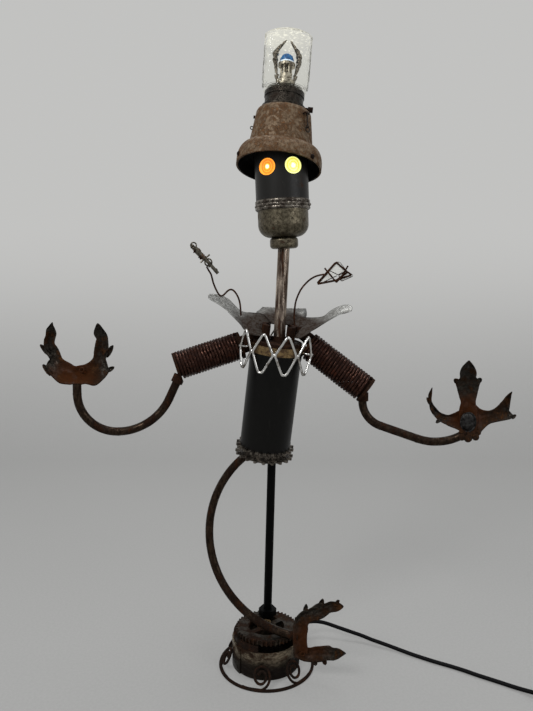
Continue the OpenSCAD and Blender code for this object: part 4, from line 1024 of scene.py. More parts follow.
@dataclass
class Casting:
    """A cast leaf ornament: strips between two edges, cupped, with veins and small spurs."""

    name: str
    node: str
    body: str
    strips: tuple[Rows, ...]
    spurs: Rows
    depth_at: Callable[[float, float], float]
    plane: float
    lumps: Rows = ()
    holes: Rows = ()
    thick: float = 1.5
    slim_share: float = 0.55
    edge_power: int = 6
    across: int = 12
    vein: tuple[float, float] = (1.9, 0.055)
    groove: tuple[float, float] = (1.4, 0.2)
    rib: tuple[float, float, float] = (0.78, 44.0, 13.0)
    dish: float = 5.0
    uneven: tuple[float, float] = (1.1, 7.0)
    full_width: float = 12.0
    spur_widths: Rows = ((0.0, 0.75), (0.3, 1.0), (0.6, 0.9), (0.85, 0.65), (1.0, 0.25))
    hole_radius: float = 3.1
    hole_rim: float = 1.1

    def seen(self, x: float, z: float, back: float = 0.0) -> Vector:
        """The place on the cupped sheet that covers a point of the drawing plane from the front.

        Args:
            x: Place across in the drawing plane.
            z: Height in it.
            back: How far behind the cup it lies.
        Returns:
            The point.
        """
        y = self.depth_at(x, z)
        scale = (y - EYE.y) / (self.plane - EYE.y)
        return Vector((EYE.x + (x - EYE.x) * scale, y + back, EYE.z + (z - EYE.z) * scale))

    def relief(self, t: float, share: float) -> float:
        """Height of the vein, its grooves and the ribs over a wide strip's front.

        Args:
            t: Place across the strip, 0 to 1.
            share: Place along it, 0 to 1.
        Returns:
            The height in millimetres.
        """
        vein, groove = (high * math.exp(-((t - 0.5) / width) ** 2)
                        for high, width in (self.vein, self.groove))
        high, along, across = self.rib
        return vein - groove + high * math.sin(share * along + abs(t - 0.5) * across) * (1 - abs(2 * t - 1))

    def skin(self, shape: Shape, rows: Sequence[tuple[Vector, Vector]], seed: float) -> None:
        """Make one closed strip with a vein down its middle and rolled edges.

        Args:
            shape: The mesh that takes it.
            rows: Pairs of edge points.
            seed: Shift of its unevenness.
        """
        rings, (amount, size) = [], self.uneven
        for i, (a, b) in enumerate(rows):
            slim = min(1.0, (b - a).length / self.full_width)
            ring = []
            for side, t in both_sides(self.across):
                flat = a.lerp(b, t)
                lift = self.thick * edge_round(t, self.edge_power)
                lift *= self.slim_share + (1 - self.slim_share) * slim
                lift += slim * self.relief(t, i / (len(rows) - 1)) if side > 0 else 0.0
                dish = self.dish * slim * math.sin(math.pi * t) ** 0.8
                bump = amount * noise.noise(Vector((flat.x / size, flat.y / size, seed)))
                ring.append(self.seen(flat.x, flat.y, dish - side * lift + bump))
            rings.append(ring)
        shape.cap_ends(shape.grid(rings, wrap=True))

    def make(self, iron: Material) -> None:
        """Cast the ornament.

        Args:
            iron: Its finish.
        """
        shape = Shape()
        for index, strip in enumerate(self.strips):
            outer, inner = (smooth_line([(*row[k:k + 2], 0.0) for row in strip], 4) for k in (0, 2))
            self.skin(shape, list(zip(outer, inner)), index * 3.1)
        for x0, z0, x1, z1, width in self.spurs:
            a, b = Vector((x0, z0, 0)), Vector((x1, z1, 0))
            side = Vector((-(b - a).y, (b - a).x, 0)).normalized() * width / 2
            self.skin(shape, [(a.lerp(b, t) + side * s, a.lerp(b, t) - side * s)
                              for t, s in self.spur_widths], x0)
        for x, z, radius in self.lumps:
            shape.ball(self.seen(x, z), radius, (1.0, 0.55, 1.0))
        for x, z in self.holes:
            shape.ring(self.seen(x, z, -self.hole_rim), Vector((self.hole_radius, 0, 0)),
                       Vector((0, 0, self.hole_radius)), 1.0, 24)
        shape.roughen(0.25, 2.6, 0.7)
        shape.finish(self.name, iron, self.body, "leaf_iron", stands_for=(self.node,))


CUP_RIM = 20.0


def cup(y: float, middle: float, radius: float = 75.0,
        sideways: bool = False) -> Callable[[float, float], float]:
    """How far forward a cupped ornament stands.

    Args:
        y: Place of its deepest line.
        middle: Height, or place across, of that line.
        radius: Radius of the cup.
        sideways: It is cupped across instead of up.
    Returns:
        A function of x and z.
    """
    def depth(x: float, z: float) -> float:
        """Place along Y at x and z."""
        off = (x if sideways else z) - middle
        return y - radius + math.sqrt(max(radius * radius - off * off, CUP_RIM ** 2))
    return depth


def traced(origin: tuple[float, float], step: tuple[float, float], rows: Rows) -> Rows:
    """Turn rows of sheet places into millimetres: the sheet's corner and its unit, across and up."""
    return tuple(tuple(origin[k % 2] + (step[0] if k % 2 == 0 else -step[1]) * v for k, v in enumerate(row))
                 for row in rows)


def sized(rows: Rows, sizes: Sequence[float]) -> Rows:
    """Rows of places with a size added to each."""
    return tuple((*row, size) for row, size in zip(rows, sizes))


@dataclass
class Ornaments:
    """The leaf castings on both hands and on the foot, with the boss in the right palm."""

    left_step: tuple[float, float] = (0.0806, 0.0806)
    left_origin: tuple[float, float] = (-331.16, 539.75)
    right_step: tuple[float, float] = (0.0898, 0.0898)
    right_origin: tuple[float, float] = (224.59, 481.9)
    foot_step: tuple[float, float] = (0.1337, 0.14)
    foot_origin: tuple[float, float] = (-74.84, 137.7)
    left_cup: tuple[float, float] = (-29.4, 464.8)
    right_cup: tuple[float, float] = (-27.2, 394.5)
    foot_cup: tuple[float, float] = (-42.6, 59.0)
    boss_size: Point = (11.6, 3.6, 14.8)
    boss_ring: tuple[float, float] = (10.8, 13.9)
    boss_out: tuple[float, float] = (0.6, 1.8)

    def left_hand(self, iron: Material) -> None:
        """Cast the left hand: two horns that rise to points.

        Args:
            iron: Its finish.
        """
        place = partial(traced, self.left_origin, self.left_step)
        outer_horn = place((
            (830, 1340, 830, 990), (720, 1325, 740, 1000), (640, 1335, 660, 950), (460, 1310, 540, 880),
            (330, 1190, 510, 830), (230, 1060, 490, 770), (265, 930, 470, 720), (300, 880, 440, 660),
            (215, 740, 400, 600), (205, 560, 420, 500), (240, 470, 435, 430), (255, 360, 410, 340),
            (300, 300, 385, 290), (360, 235, 372, 240)))
        inner_horn = place((
            (830, 1340, 830, 990), (920, 1325, 920, 970), (1080, 1355, 1010, 920), (1200, 1280, 1060, 860),
            (1330, 1130, 1075, 800), (1330, 1020, 1085, 720), (1290, 890, 1100, 640),
            (1310, 840, 1120, 560), (1340, 700, 1130, 530), (1340, 560, 1090, 460), (1320, 450, 1085, 400),
            (1260, 360, 1105, 340), (1210, 290, 1130, 280), (1165, 250, 1150, 255)))
        spurs = sized(place(((320, 1160, 180, 975), (300, 800, 145, 625), (1310, 1090, 1430, 1020),
                             (1290, 840, 1420, 640))), (8, 8, 7, 8))
        y, z = self.left_cup
        Casting("left_leaves", "left_hand", "left_arm", (outer_horn, inner_horn), spurs, cup(y, z), y,
                holes=place(((867, 1069),))).make(iron)

    def right_hand(self, iron: Material, grey: Material) -> None:
        """Cast the right hand: a lobed leaf between two curled fingers.

        Args:
            iron: Its finish.
            grey: Finish of the boss in its palm.
        """
        place = partial(traced, self.right_origin, self.right_step)
        leaf = place((
            (600, 1420, 850, 1400), (590, 1250, 860, 1250), (570, 1100, 865, 1080), (560, 960, 850, 930),
            (585, 850, 825, 850), (560, 760, 840, 740), (520, 620, 870, 600), (490, 500, 890, 490),
            (555, 455, 825, 445), (560, 350, 830, 370), (600, 260, 790, 270), (688, 172, 712, 172)))
        left_finger = place((
            (620, 1380, 640, 960), (600, 1310, 600, 960), (400, 1220, 540, 980), (250, 1140, 400, 1040),
            (170, 1060, 270, 1000), (110, 980, 190, 920), (88, 900, 146, 862), (76, 800, 122, 790),
            (66, 720, 130, 700), (122, 600, 132, 603)))
        right_finger = place((
            (880, 1370, 800, 880), (900, 1350, 830, 880), (990, 1240, 900, 940), (1080, 1180, 1000, 970),
            (1250, 1140, 1100, 950), (1380, 1110, 1180, 890), (1430, 1050, 1230, 830),
            (1368, 990, 1270, 780), (1370, 900, 1310, 730), (1400, 670, 1388, 665)))
        spurs = sized(place(((120, 880, 45, 760), (1400, 1090, 1470, 1040), (540, 520, 470, 470),
                             (850, 510, 905, 455), (260, 1120, 200, 1170))), (6, 6, 8, 8, 6))
        lumps = sized(place(((620, 1400), (720, 1420), (840, 1400), (880, 1330), (610, 1320))),
                      (5.2, 6, 5.2, 4, 4))
        depth = cup(*self.right_cup)
        Casting("right_leaves", "right_hand", "right_arm", (leaf, left_finger, right_finger), spurs, depth,
                self.right_cup[0], lumps).make(iron)
        x, z = place(((700, 1150),))[0]
        boss, (wide, high) = Shape(), self.boss_ring
        ball, rim = (Vector((x, depth(x, z) - out, z)) for out in self.boss_out)
        boss.ball(ball, 1.0, self.boss_size)
        boss.ring(rim, Vector((wide, 0, 0)), Vector((0, 0, high)), 1.0, 40)
        boss.roughen(0.5, 4.0, 0.4)
        boss.finish("right_palm_boss", grey, "right_arm", "grey_steel", subdivide=1)

    def foot(self, iron: Material) -> None:
        """Cast the foot: a band across the rod's end with an upper and a lower leaf.

        Args:
            iron: Its finish.
        """
        place = partial(traced, self.foot_origin, self.foot_step)
        upper = place((
            (860, 330, 1000, 410), (900, 270, 1020, 370), (960, 225, 1050, 350), (1010, 215, 1095, 338),
            (1080, 168, 1140, 325), (1130, 145, 1180, 305), (1190, 152, 1215, 280), (1250, 130, 1255, 250),
            (1330, 140, 1320, 241), (1370, 165, 1370, 215), (1390, 180, 1392, 190)))
        lower = place((
            (870, 730, 1000, 630), (930, 765, 1030, 628), (1000, 785, 1070, 618), (1080, 788, 1130, 611),
            (1150, 785, 1190, 607), (1220, 770, 1240, 607), (1290, 768, 1290, 630), (1350, 745, 1345, 640),
            (1395, 715, 1390, 665), (1420, 692, 1422, 685)))
        band = place((
            (866, 300, 1005, 385), (850, 400, 1010, 430), (846, 480, 1000, 500), (846, 560, 1000, 570),
            (850, 640, 1010, 640), (866, 745, 1000, 700)))
        spurs = sized(place(((975, 245, 990, 165), (1140, 180, 1168, 108), (1085, 770, 1095, 825),
                             (1185, 765, 1200, 815), (1310, 150, 1345, 120))), (7, 8, 7, 7, 5))
        y, x = self.foot_cup
        Casting("foot_leaves", "foot", "frame", (upper, lower, band), spurs, cup(y, x, sideways=True), y,
                holes=place(((950, 690),))).make(iron)


@dataclass
class Weld:
    """The lumpy weld between the chin and the head."""

    radius: float = 36.5
    beads: int = 30
    foot: float = 46.0
    rows: tuple[Point, ...] = ((2.5, 0.0, 3.2), (6.4, 0.5, 3.3), (9.9, 0.0, 2.9))
    uneven: Point = (0.8, 0.9, 0.22)
    squash: Point = (1.0, 1.0, 0.86)

    def make(self, steel: Material) -> None:
        """Lay the beads: each row has its height, its reach and the size of its beads.

        Args:
            steel: Its finish.
        """
        shape, (sway, rise, swell) = Shape(), self.uneven
        for row, (lift, reach, size) in enumerate(self.rows):
            for k in range(self.beads):
                a = 2 * math.pi * (k + 0.5 * (row % 2)) / self.beads
                shift = noise.noise(Vector((k * 1.7, row * 2.3, 0.4)))
                r = self.radius + reach + sway * shift
                shape.ball(Vector((r * math.cos(a), r * math.sin(a), self.foot + lift + rise * shift)),
                           size * (1 + swell * shift), self.squash)
        shape.roughen(0.35, 2.2, 2.0)
        shape.finish("head_weld_bead", steel, "frame", "grey_steel", HEAD.matrix())


Edge = tuple[Point, Point]


@dataclass
class Collar:
    """The cupped collar: three petals bent up from a dish round the neck pipe."""

    thick: float = 1.6
    left: tuple[Edge, ...] = (
        ((-84.5, -2.0, 560.5), (-82.5, -10.0, 555.0)), ((-78.5, 2.0, 561.5), (-77.5, -14.0, 551.0)),
        ((-66.0, 6.0, 559.5), (-66.0, -18.0, 544.5)), ((-55.0, 10.0, 553.5), (-56.0, -20.0, 536.5)),
        ((-46.0, 13.0, 544.5), (-46.5, -22.0, 527.5)), ((-36.5, 16.0, 536.0), (-38.0, -24.0, 518.5)),
        ((-21.5, 19.0, 534.0), (-31.5, -25.0, 509.5)), ((-4.5, 20.0, 531.5), (-22.5, -24.0, 503.0)),
        ((6.0, 16.0, 520.0), (2.0, -16.0, 499.5)))
    right: tuple[Edge, ...] = (
        ((125.0, -2.0, 541.5), (122.5, -10.0, 536.5)), ((119.5, 2.0, 545.5), (116.5, -14.0, 534.5)),
        ((106.0, 6.0, 543.5), (102.5, -18.0, 531.0)), ((93.5, 10.0, 536.5), (90.5, -20.0, 524.5)),
        ((84.5, 13.0, 529.0), (77.5, -22.0, 517.0)), ((73.0, 16.0, 527.0), (65.5, -24.0, 509.0)),
        ((60.0, 19.0, 527.0), (53.5, -25.0, 500.5)), ((47.0, 20.0, 527.0), (46.5, -22.0, 497.5)),
        ((40.5, 16.0, 518.0), (40.0, -14.0, 498.0)))
    rear: tuple[Edge, ...] = (
        ((-6.5, 46.0, 542.5), (60.5, 46.0, 540.0)), ((-11.0, 42.0, 538.0), (61.5, 42.0, 533.5)),
        ((-15.0, 34.0, 533.5), (60.0, 34.0, 527.5)), ((-6.5, 24.0, 525.5), (53.5, 24.0, 521.5)),
        ((3.0, 16.0, 518.0), (45.0, 16.0, 516.5)))

    def make(self, zinc: Material) -> None:
        """Bend the collar.

        Args:
            zinc: Its finish.
        """
        shape = Shape()
        for edges, bow in ((self.left, 4.0), (self.right, 4.0), (self.rear, 2.0)):
            first, second = (smooth_line([e[k] for e in edges], 4) for k in (0, 1))
            shape.sheet(first, second, self.thick, bow, 10)
        shape.roughen(0.45, 11.0, 1.3)
        shape.finish("collar_petals", zinc, "frame", "rusty_iron", stands_for=("collar_plate",))


@dataclass
class Band:
    """The chrome band of linked diamonds round the shoulders."""

    radius: float = 54.0
    height: float = 57.0
    bar: float = 1.75
    half: float = 16.8
    middles: tuple[float, ...] = (-58.0, -22.0, 14.0, 50.0, 143.0, 178.5, 213.0)
    pins: tuple[float, ...] = (-76.0, 68.0, 125.0, 160.75, 231.0)
    links: tuple[float, ...] = (-40.0, -4.0, 32.0, 195.75)
    pin_reach: tuple[float, float] = (40.5, 46.0)
    pin_bar: float = 1.3
    rivet: float = 2.5
    uneven: float = 0.5
    origin: Point = (0.0, -9.0, 146.0)
    corners: Rows = (
        (-0.14, -1.0), (0.14, -1.0), (0.3, -0.86), (0.93, -0.08), (0.93, 0.08), (0.16, 0.93), (0.0, 1.0),
        (-0.16, 0.93), (-0.93, 0.08), (-0.93, -0.08), (-0.3, -0.86))

    def on_band(self, turn: float, z: float, radius: Optional[float] = None) -> Vector:
        """A point of the band, by degrees from the front towards +X and height over its middle."""
        a, r = math.radians(turn), radius or self.radius
        return Vector(self.origin) + Vector((r * math.sin(a), -r * math.cos(a), z))

    def make(self, chrome: Material) -> None:
        """Bend the diamonds, pin them to the torso and link them.

        Args:
            chrome: Its finish.
        """
        shape = Shape()
        top = self.height / 2 - self.bar
        for index, middle in enumerate(self.middles):
            line = []
            for k, (u, w) in enumerate(self.corners):
                u2, w2 = self.corners[(k + 1) % len(self.corners)]
                for t in (0.0, 0.2, 0.4, 0.6, 0.8):
                    lift = self.uneven * noise.noise(Vector((index * 3.0, k + t, 0.2)))
                    line.append(self.on_band(middle + self.half * (u + (u2 - u) * t),
                                             top * (w + (w2 - w) * t) + lift))
            shape.tube(line, self.bar, 8, closed=True)
        for turn in self.pins:
            shape.tube([self.on_band(turn, 0.0, r) for r in (*self.pin_reach, self.radius)],
                       self.pin_bar, 8)
        for turn in self.pins + self.links:
            shape.ball(self.on_band(turn, 0.0), self.rivet, (1.0, 1.0, 1.1))
        shape.roughen(0.12, 3.0, 0.5)
        shape.finish("diamond_band", chrome, "frame", "chrome", TORSO.matrix(), stands_for=("wire_band",))


@dataclass
class Claws:
    """Two ornate arms that rise in the jar and close over the dome."""

    arm: tuple[Point, ...] = (
        (10.5, 34.5, 2.2), (11.8, 40, 2.0), (13.6, 47, 2.6), (14.2, 52, 2.0), (15.0, 58, 2.6),
        (16.2, 64, 3.0), (17.0, 69, 4.2), (17.2, 73, 3.4), (16.8, 77, 4.6), (15.4, 81, 3.4),
        (13.4, 84.5, 2.9), (11.2, 87.5, 2.3), (8.4, 91, 1.9), (5.6, 94.5, 1.5), (2.9, 98, 0.7))
    turns: tuple[float, float] = (188.0, 8.0)
    lobed: tuple[int, ...] = (4, 6, 8, 10)
    lobe_out: float = 0.7
    lobe_size: float = 0.55
    ring: Point = (11.2, 36.0, 1.6)

    def make(self, steel: Material) -> None:
        """Cast both arms and the ring that they stand on.

        Args:
            steel: Their finish.
        """
        shape = Shape()
        sizes = smooth_line([(size, 0.0, 0.0) for _, _, size in self.arm], 4)
        for turn in map(math.radians, self.turns):
            line = smooth_line([(x * math.cos(turn), x * math.sin(turn), z) for x, z, _ in self.arm], 4)
            shape.tube(line, lambda share: sizes[round(share * (len(sizes) - 1))].x)
            for x, z, size in (self.arm[k] for k in self.lobed):
                for out in (-self.lobe_out * size, self.lobe_out * size):
                    lobe = Vector((x * math.cos(turn), x * math.sin(turn) + out, z))
                    shape.ball(lobe, size * self.lobe_size)
        reach, z, bar = self.ring
        shape.ring(UPRIGHT * z, Vector((reach, 0, 0)), Vector((0, reach, 0)), bar, 32)
        shape.roughen(0.7, 1.9, 0.9)
        shape.finish("dome_claws", steel, "frame", "dark_steel", JAR.matrix(), stands_for=("jar_claws",))


@dataclass
class Scrolls:
    """Wrought volutes between the floor ring and the drum."""

    ring: float = 70.0
    drum: float = 50.0
    bar: float = 1.9
    turns: tuple[float, ...] = (-97.0, -49.0, 23.0, 71.0, 143.0, 191.0)
    eye_height: float = 17.0
    outer: float = 13.2
    inner: float = 4.6
    clear: float = 1.0
    eye_knob: float = 1.35
    steps: int = 45
    winding: float = 3.3
    foot: Rows = ((-27.0, 2.6), (-20.0, 2.4), (-12.0, 2.6))

    def flat(self) -> list[tuple[float, float]]:
        """One volute laid flat, from its foot on the ring to its eye.

        Returns:
            Places along the ring and heights, in millimetres.
        """
        line = list(self.foot)
        for k in range(self.steps + 1):
            share = k / self.steps
            angle = math.pi * (self.winding * share - 0.5)
            r = self.outer + (self.inner - self.outer) * share ** 1.2
            rise = self.eye_height - (1 - share) ** 6 * 1.2
            line.append((r * math.cos(angle), rise + r * math.sin(angle)))
        return line

    def thickness(self, share: float) -> float:
        """Radius of the bar at a share of its length: it swells at the eye."""
        return self.bar * (1.0 if share < 0.9 else 1.25 - 5.0 * abs(share - 0.95))

    def make(self, iron: Material) -> None:
        """Bend the volutes and join their feet to the ring.

        Args:
            iron: Their finish.
        """
        shape = Shape()
        lean = (self.ring - self.drum - self.bar - self.clear) / (self.eye_height + self.outer)
        for index, turn in enumerate(self.turns):
            a = math.radians(turn)
            out, side = Vector((math.cos(a), math.sin(a), 0.0)), Vector((-math.sin(a), math.cos(a), 0.0))
            line = []
            for along, z in self.flat():
                reach = self.ring - lean * z if z > 4 else math.sqrt((self.ring - 0.5) ** 2 - along ** 2)
                line.append(out * reach + side * along * (-1) ** index + UPRIGHT * z)
            shape.tube(line, self.thickness, 8)
            shape.ball(line[-1], self.bar * self.eye_knob)
        shape.roughen(0.25, 3.0, 1.1)
        shape.finish("base_volutes", iron, "frame", "rusty_iron", stands_for=("base_scrolls",))


@dataclass
class Charms:
    """The wrapped bar on the left antenna and the wired jewel on the right one."""

    bar: tuple[Point, ...] = ((-109.0, -0.8, 632.0), (-98.5, -0.8, 619.5), (-83.5, -0.8, 606.0),
                              (-70.0, -0.8, 591.0))
    kite: tuple[Point, ...] = ((71.0, -18.5, 574.5), (98.5, -18.5, 605.5), (114.5, -18.5, 591.5),
                               (99.5, -18.5, 580.0))
    vee: tuple[Point, ...] = ((82.0, -21.0, 597.0), (89.5, -21.5, 588.0), (99.0, -21.0, 578.5),
                              (107.0, -21.5, 587.0), (115.0, -21.0, 600.0))
    wing: tuple[Point, ...] = ((99.5, -18.0, 580.0), (120.5, -18.0, 587.5), (114.5, -17.5, 591.5))
    wraps: tuple[float, ...] = (0.2, 0.42, 0.47, 0.52, 0.7)
    knobs: tuple[float, ...] = (0.12, 0.34, 0.88)
    knob: float = 3.7
    bar_radius: tuple[float, float] = (2.0, 1.3)
    wrap: Point = (4.2, 4.0, 1.4)
    wire: float = 0.8
    thick_wire: float = 1.5
    vee_wire: float = 1.2
    bead: float = 2.3

    def make(self, pewter: Material, copper: Material) -> None:
        """Shape the bar and bind both charms with wire.

        Args:
            pewter: Finish of the bar.
            copper: Finish of the wires.
        """
        line = smooth_line(self.bar, 6)
        last = len(line) - 1
        bar, (slim, swell) = Shape(), self.bar_radius
        bar.tube(line, lambda share: slim + swell * math.sin(math.pi * min(share * 1.25, 1.0)) ** 0.5, 6)
        for share in self.knobs:
            bar.ball(line[round(share * last)], self.knob, (0.9, 0.9, 0.9))
        bar.roughen(0.5, 2.4, 0.6)
        bar.finish("charm_bar", pewter, "frame", "dark_steel")
        wires, (wide, deep, slant) = Shape(), self.wrap
        along = (line[-1] - line[0]).normalized()
        for index, share in enumerate(self.wraps):
            across = Vector((along.z, 0.0, -along.x)) * wide + along * slant * (-1) ** index
            wires.ring(line[round(share * last)], across, Vector((0.0, deep, 0.0)), self.wire, 20, 6)
        for outline in (self.kite, self.wing):
            corners = [Vector(p) for p in outline]
            wires.tube([corner.lerp(ahead, t) for corner, ahead in zip(corners, corners[1:] + corners[:1])
                        for t in (0.06, 0.35, 0.65, 0.94)], self.thick_wire, 6, closed=True)
        wires.tube(smooth_line(self.vee, 4), self.vee_wire, 6)
        wires.ball(Vector(self.vee[2]), self.bead)
        wires.roughen(0.2, 2.0, 0.3)
        wires.finish("charm_wires", copper, "frame", "copper_wire")


# ------------------------------------------------------------------ finishes of the solids

IRONWORK = (
    (Iron("drum_steel", (0.33, 0.27, 0.19), (0.075, 0.056, 0.036), (0.03, 0.015, 0.008), (0.11, 0.05, 0.022),
          blotch=0.02, rough=0.32, shine=0.7, stretch=(1.0, 1.0, 2.2), darker_below=(0.019, 0.04), gloss=0.1),
     "base_drum"),
    (Iron("gear_steel", (0.07, 0.055, 0.04), (0.01, 0.008, 0.0065), (0.024, 0.011, 0.006),
          (0.07, 0.028, 0.01), rough=0.34, gloss=0.13), "base_gear"),
    (Iron("sprocket_steel", (0.2, 0.175, 0.145), (0.014, 0.011, 0.009), (0.03, 0.014, 0.008),
          (0.09, 0.04, 0.018), Wear.SPECKS, blotch=0.005, rough=0.24, gloss=0.15),
     "waist_sprocket_lower", "waist_sprocket_upper"),
    (Iron("leg_iron", (0.05, 0.032, 0.02), (0.008, 0.0045, 0.0025), (0.014, 0.006, 0.0028),
          (0.05, 0.018, 0.006), blotch=0.01, rough=0.26, shine=0.7, stretch=(1.0, 1.0, 0.55), gloss=0.13),
     "leg_rod", "left_forearm", "right_forearm"),
    (Iron("neck_iron", (0.66, 0.54, 0.43), (0.05, 0.03, 0.02), (0.03, 0.013, 0.007), (0.1, 0.04, 0.015),
          blotch=0.007, rough=0.2, stretch=(1.0, 1.0, 0.12)), "neck_pipe"),
    (Iron("flange_iron", (0.06, 0.036, 0.022), (0.012, 0.007, 0.0045), (0.024, 0.0095, 0.0045),
          (0.08, 0.03, 0.01), Wear.HEAVY, blotch=0.01, gloss=0.14),
     "neck_flange", "left_shoulder", "right_shoulder", "left_spring_cap", "right_spring_cap"),
    (Iron("chin_steel", (0.185, 0.158, 0.108), (0.05, 0.041, 0.026), (0.045, 0.022, 0.012),
          (0.1, 0.045, 0.02), Wear.SPECKS, blotch=0.007, rough=0.34, depth=0.0012),
     "chin_casting", "neck_collar"),
    (Iron("hat_steel", (0.24, 0.17, 0.105), (0.1, 0.06, 0.031), (0.125, 0.066, 0.03), (0.22, 0.105, 0.042),
          blotch=0.0045, rough=0.52, shine=0.3, axis_at=HAT.point(0.0), axis=HAT.axis()), "hat"),
    (Iron("jar_collar_iron", (0.045, 0.038, 0.03), (0.01, 0.008, 0.006), (0.03, 0.015, 0.008),
          (0.06, 0.03, 0.015), Wear.SPECKS, rough=0.3, depth=0.0022), "jar_collar", "hat_pin", "hat_ring"),
)

OTHER_WORK = (
    (Enamel("torso_paint", (0.0025, 0.0023, 0.0018), (0.022, 0.02, 0.017), (0.03, 0.013, 0.007), 0.38,
            bloom=0.7, gloss=0.13), "torso_tube", "torso_ring"),
    (Enamel("post_paint", (0.0012, 0.0012, 0.0012), (0.008, 0.0075, 0.007), (0.014, 0.008, 0.005), 0.5,
            bloom=0.72, coat=0.0, gloss=0.06), "post", "post_nut"),
    (Enamel("head_paint", (0.013, 0.012, 0.0105), (0.06, 0.056, 0.05), (0.05, 0.024, 0.014), 0.42,
            bloom=0.66), "head_tube", "head_cap"),
    (Bright("ring_brass", (0.34, 0.23, 0.11), (0.1, 0.06, 0.032), 0.26, 0.8, 0.005),
     "brass_ring", "gear_hub", "cord_gland"),
    (Bright("socket_brass", (0.6, 0.54, 0.43), (0.06, 0.043, 0.03), 0.16, 0.8, 0.005), "jar_socket"),
    (Bright("socket_steel", (0.4, 0.38, 0.34), (0.16, 0.14, 0.12), 0.3), "eye_sockets"),
    (Dome("dome_glass", JAR.point(65.0), JAR.axis(), 0.0018), "blue_dome"),
    (ClearGlass("jar_glass"), "jar"),
    (LitLens("amber_lens", HEAD.eye(-19.4), (1.0, 0.5, 0.03), (0.75, 0.13, 0.0), (1.0, 0.33, 0.02)),
     "left_eye_lens"),
    (LitLens("yellow_lens", HEAD.eye(16.6), (1.0, 0.95, 0.3), (0.6, 0.5, 0.02), (0.85, 0.86, 0.28)),
     "right_eye_lens"),
    (Moulded("bulb_glass", (0.95, 0.88, 0.6), (0.6, 0.5, 0.3), 0.15, 0.8), "eye_bulbs"),
    (Moulded("jewel_glass", (0.86, 0.86, 0.81), (0.6, 0.58, 0.5), 0.12, 1.0), "right_jewel"),
    (Moulded("wire_cover", (0.02, 0.02, 0.02), (0.08, 0.07, 0.06)), "wiring"),
)


@dataclass
class Dressing:
    """Every finish of the lamp, the solids that wear it and the pieces that share it."""

    leaf: Iron = Iron("leaf_iron", (0.06, 0.052, 0.042), (0.009, 0.0072, 0.005), (0.026, 0.012, 0.005),
                      (0.1, 0.04, 0.012), blotch=0.012, rough=0.3, shine=0.7, depth=0.0012,
                      core_tone=(0.05, 0.0145, 0.003), gloss=0.15)

    def solids(self) -> None:
        """Dress the solids whose finish no other piece shares."""
        for finish, *nodes in IRONWORK + OTHER_WORK:
            dress(finish.make(), *nodes)

    def body(self) -> None:
        """Make the trim of the base, the torso, the head and the jar."""
        ring = Iron("ring_iron", (0.03, 0.022, 0.016), (0.007, 0.0048, 0.0034), (0.016, 0.0075, 0.004),
                    (0.06, 0.022, 0.008), Wear.HEAVY, gloss=0.15).make()
        dress(ring, "base_ring", "gear_seat", "hat_bolts", "hat_lugs")
        Scrolls().make(ring)
        Band().make(Bright("band_chrome", (0.68, 0.67, 0.64), (0.16, 0.135, 0.11), 0.12, 0.5, 0.016,
                           0.0001).make())
        Collar().make(Iron("collar_zinc", (0.5, 0.5, 0.48), (0.2, 0.198, 0.185), (0.04, 0.02, 0.012),
                           (0.1, 0.045, 0.02), Wear.SPECKS, blotch=0.022, rough=0.46, shine=0.6,
                           core=(0.0215, -0.012, 0.498), core_reach=(0.054, 0.09),
                           core_tone=(0.026, 0.0145, 0.0085), core_cover=0.75, gloss=0.08).make())
        weld = Bright("weld_steel", (0.24, 0.215, 0.18), (0.045, 0.034, 0.026), 0.2, 0.85).make()
        dress(weld, "head_weld")
        Weld().make(weld)
        Claws().make(Bright("claw_steel", (0.3, 0.26, 0.21), (0.012, 0.009, 0.0065), 0.18, 0.9, 0.003).make())

    def wires(self) -> None:
        """Dress the antennas and make their charms."""
        copper = Iron("antenna_copper", (0.16, 0.075, 0.045), (0.025, 0.012, 0.007), (0.035, 0.013, 0.006),
                      (0.12, 0.045, 0.016), Wear.HEAVY, blotch=0.008, rough=0.28, gloss=0.15).make()
        dress(copper, "left_antenna", "right_antenna")
        pewter = Iron("charm_pewter", (0.2, 0.18, 0.14), (0.018, 0.015, 0.01), wear=Wear.SPECKS,
                      blotch=0.004, rough=0.24, gloss=0.15).make()
        dress(pewter, "left_charm")
        Charms().make(pewter, copper)

    def arms(self) -> None:
        """Wind the springs and cast the leaves, whose middles have rusted orange."""
        Springs().make(Iron("spring_steel", (0.085, 0.04, 0.028), (0.0125, 0.005, 0.0035),
                            (0.022, 0.0072, 0.004), (0.075, 0.022, 0.01), blotch=0.006, rough=0.2,
                            depth=0.0003, gloss=0.15).make())
        boss = Iron("boss_grey", (0.06, 0.058, 0.056), (0.006, 0.005, 0.0045), (0.014, 0.0075, 0.005),
                    (0.04, 0.018, 0.01), Wear.SPECKS, blotch=0.006, rough=0.36, depth=0.0014,
                    gloss=0.08).make()
        left, right, foot = (replace(self.leaf, name=name, core=palm, core_reach=reach).make()
                             for name, palm, reach in (
                                 ("left_leaf_iron", (-0.272, -0.032, 0.448), (0.014, 0.04)),
                                 ("right_leaf_iron", (0.288, -0.03, 0.392), (0.016, 0.036)),
                                 ("foot_leaf_iron", (0.062, -0.044, 0.06), (0.012, 0.038))))
        ornaments = Ornaments()
        ornaments.left_hand(left)
        ornaments.right_hand(right, boss)
        ornaments.foot(foot)


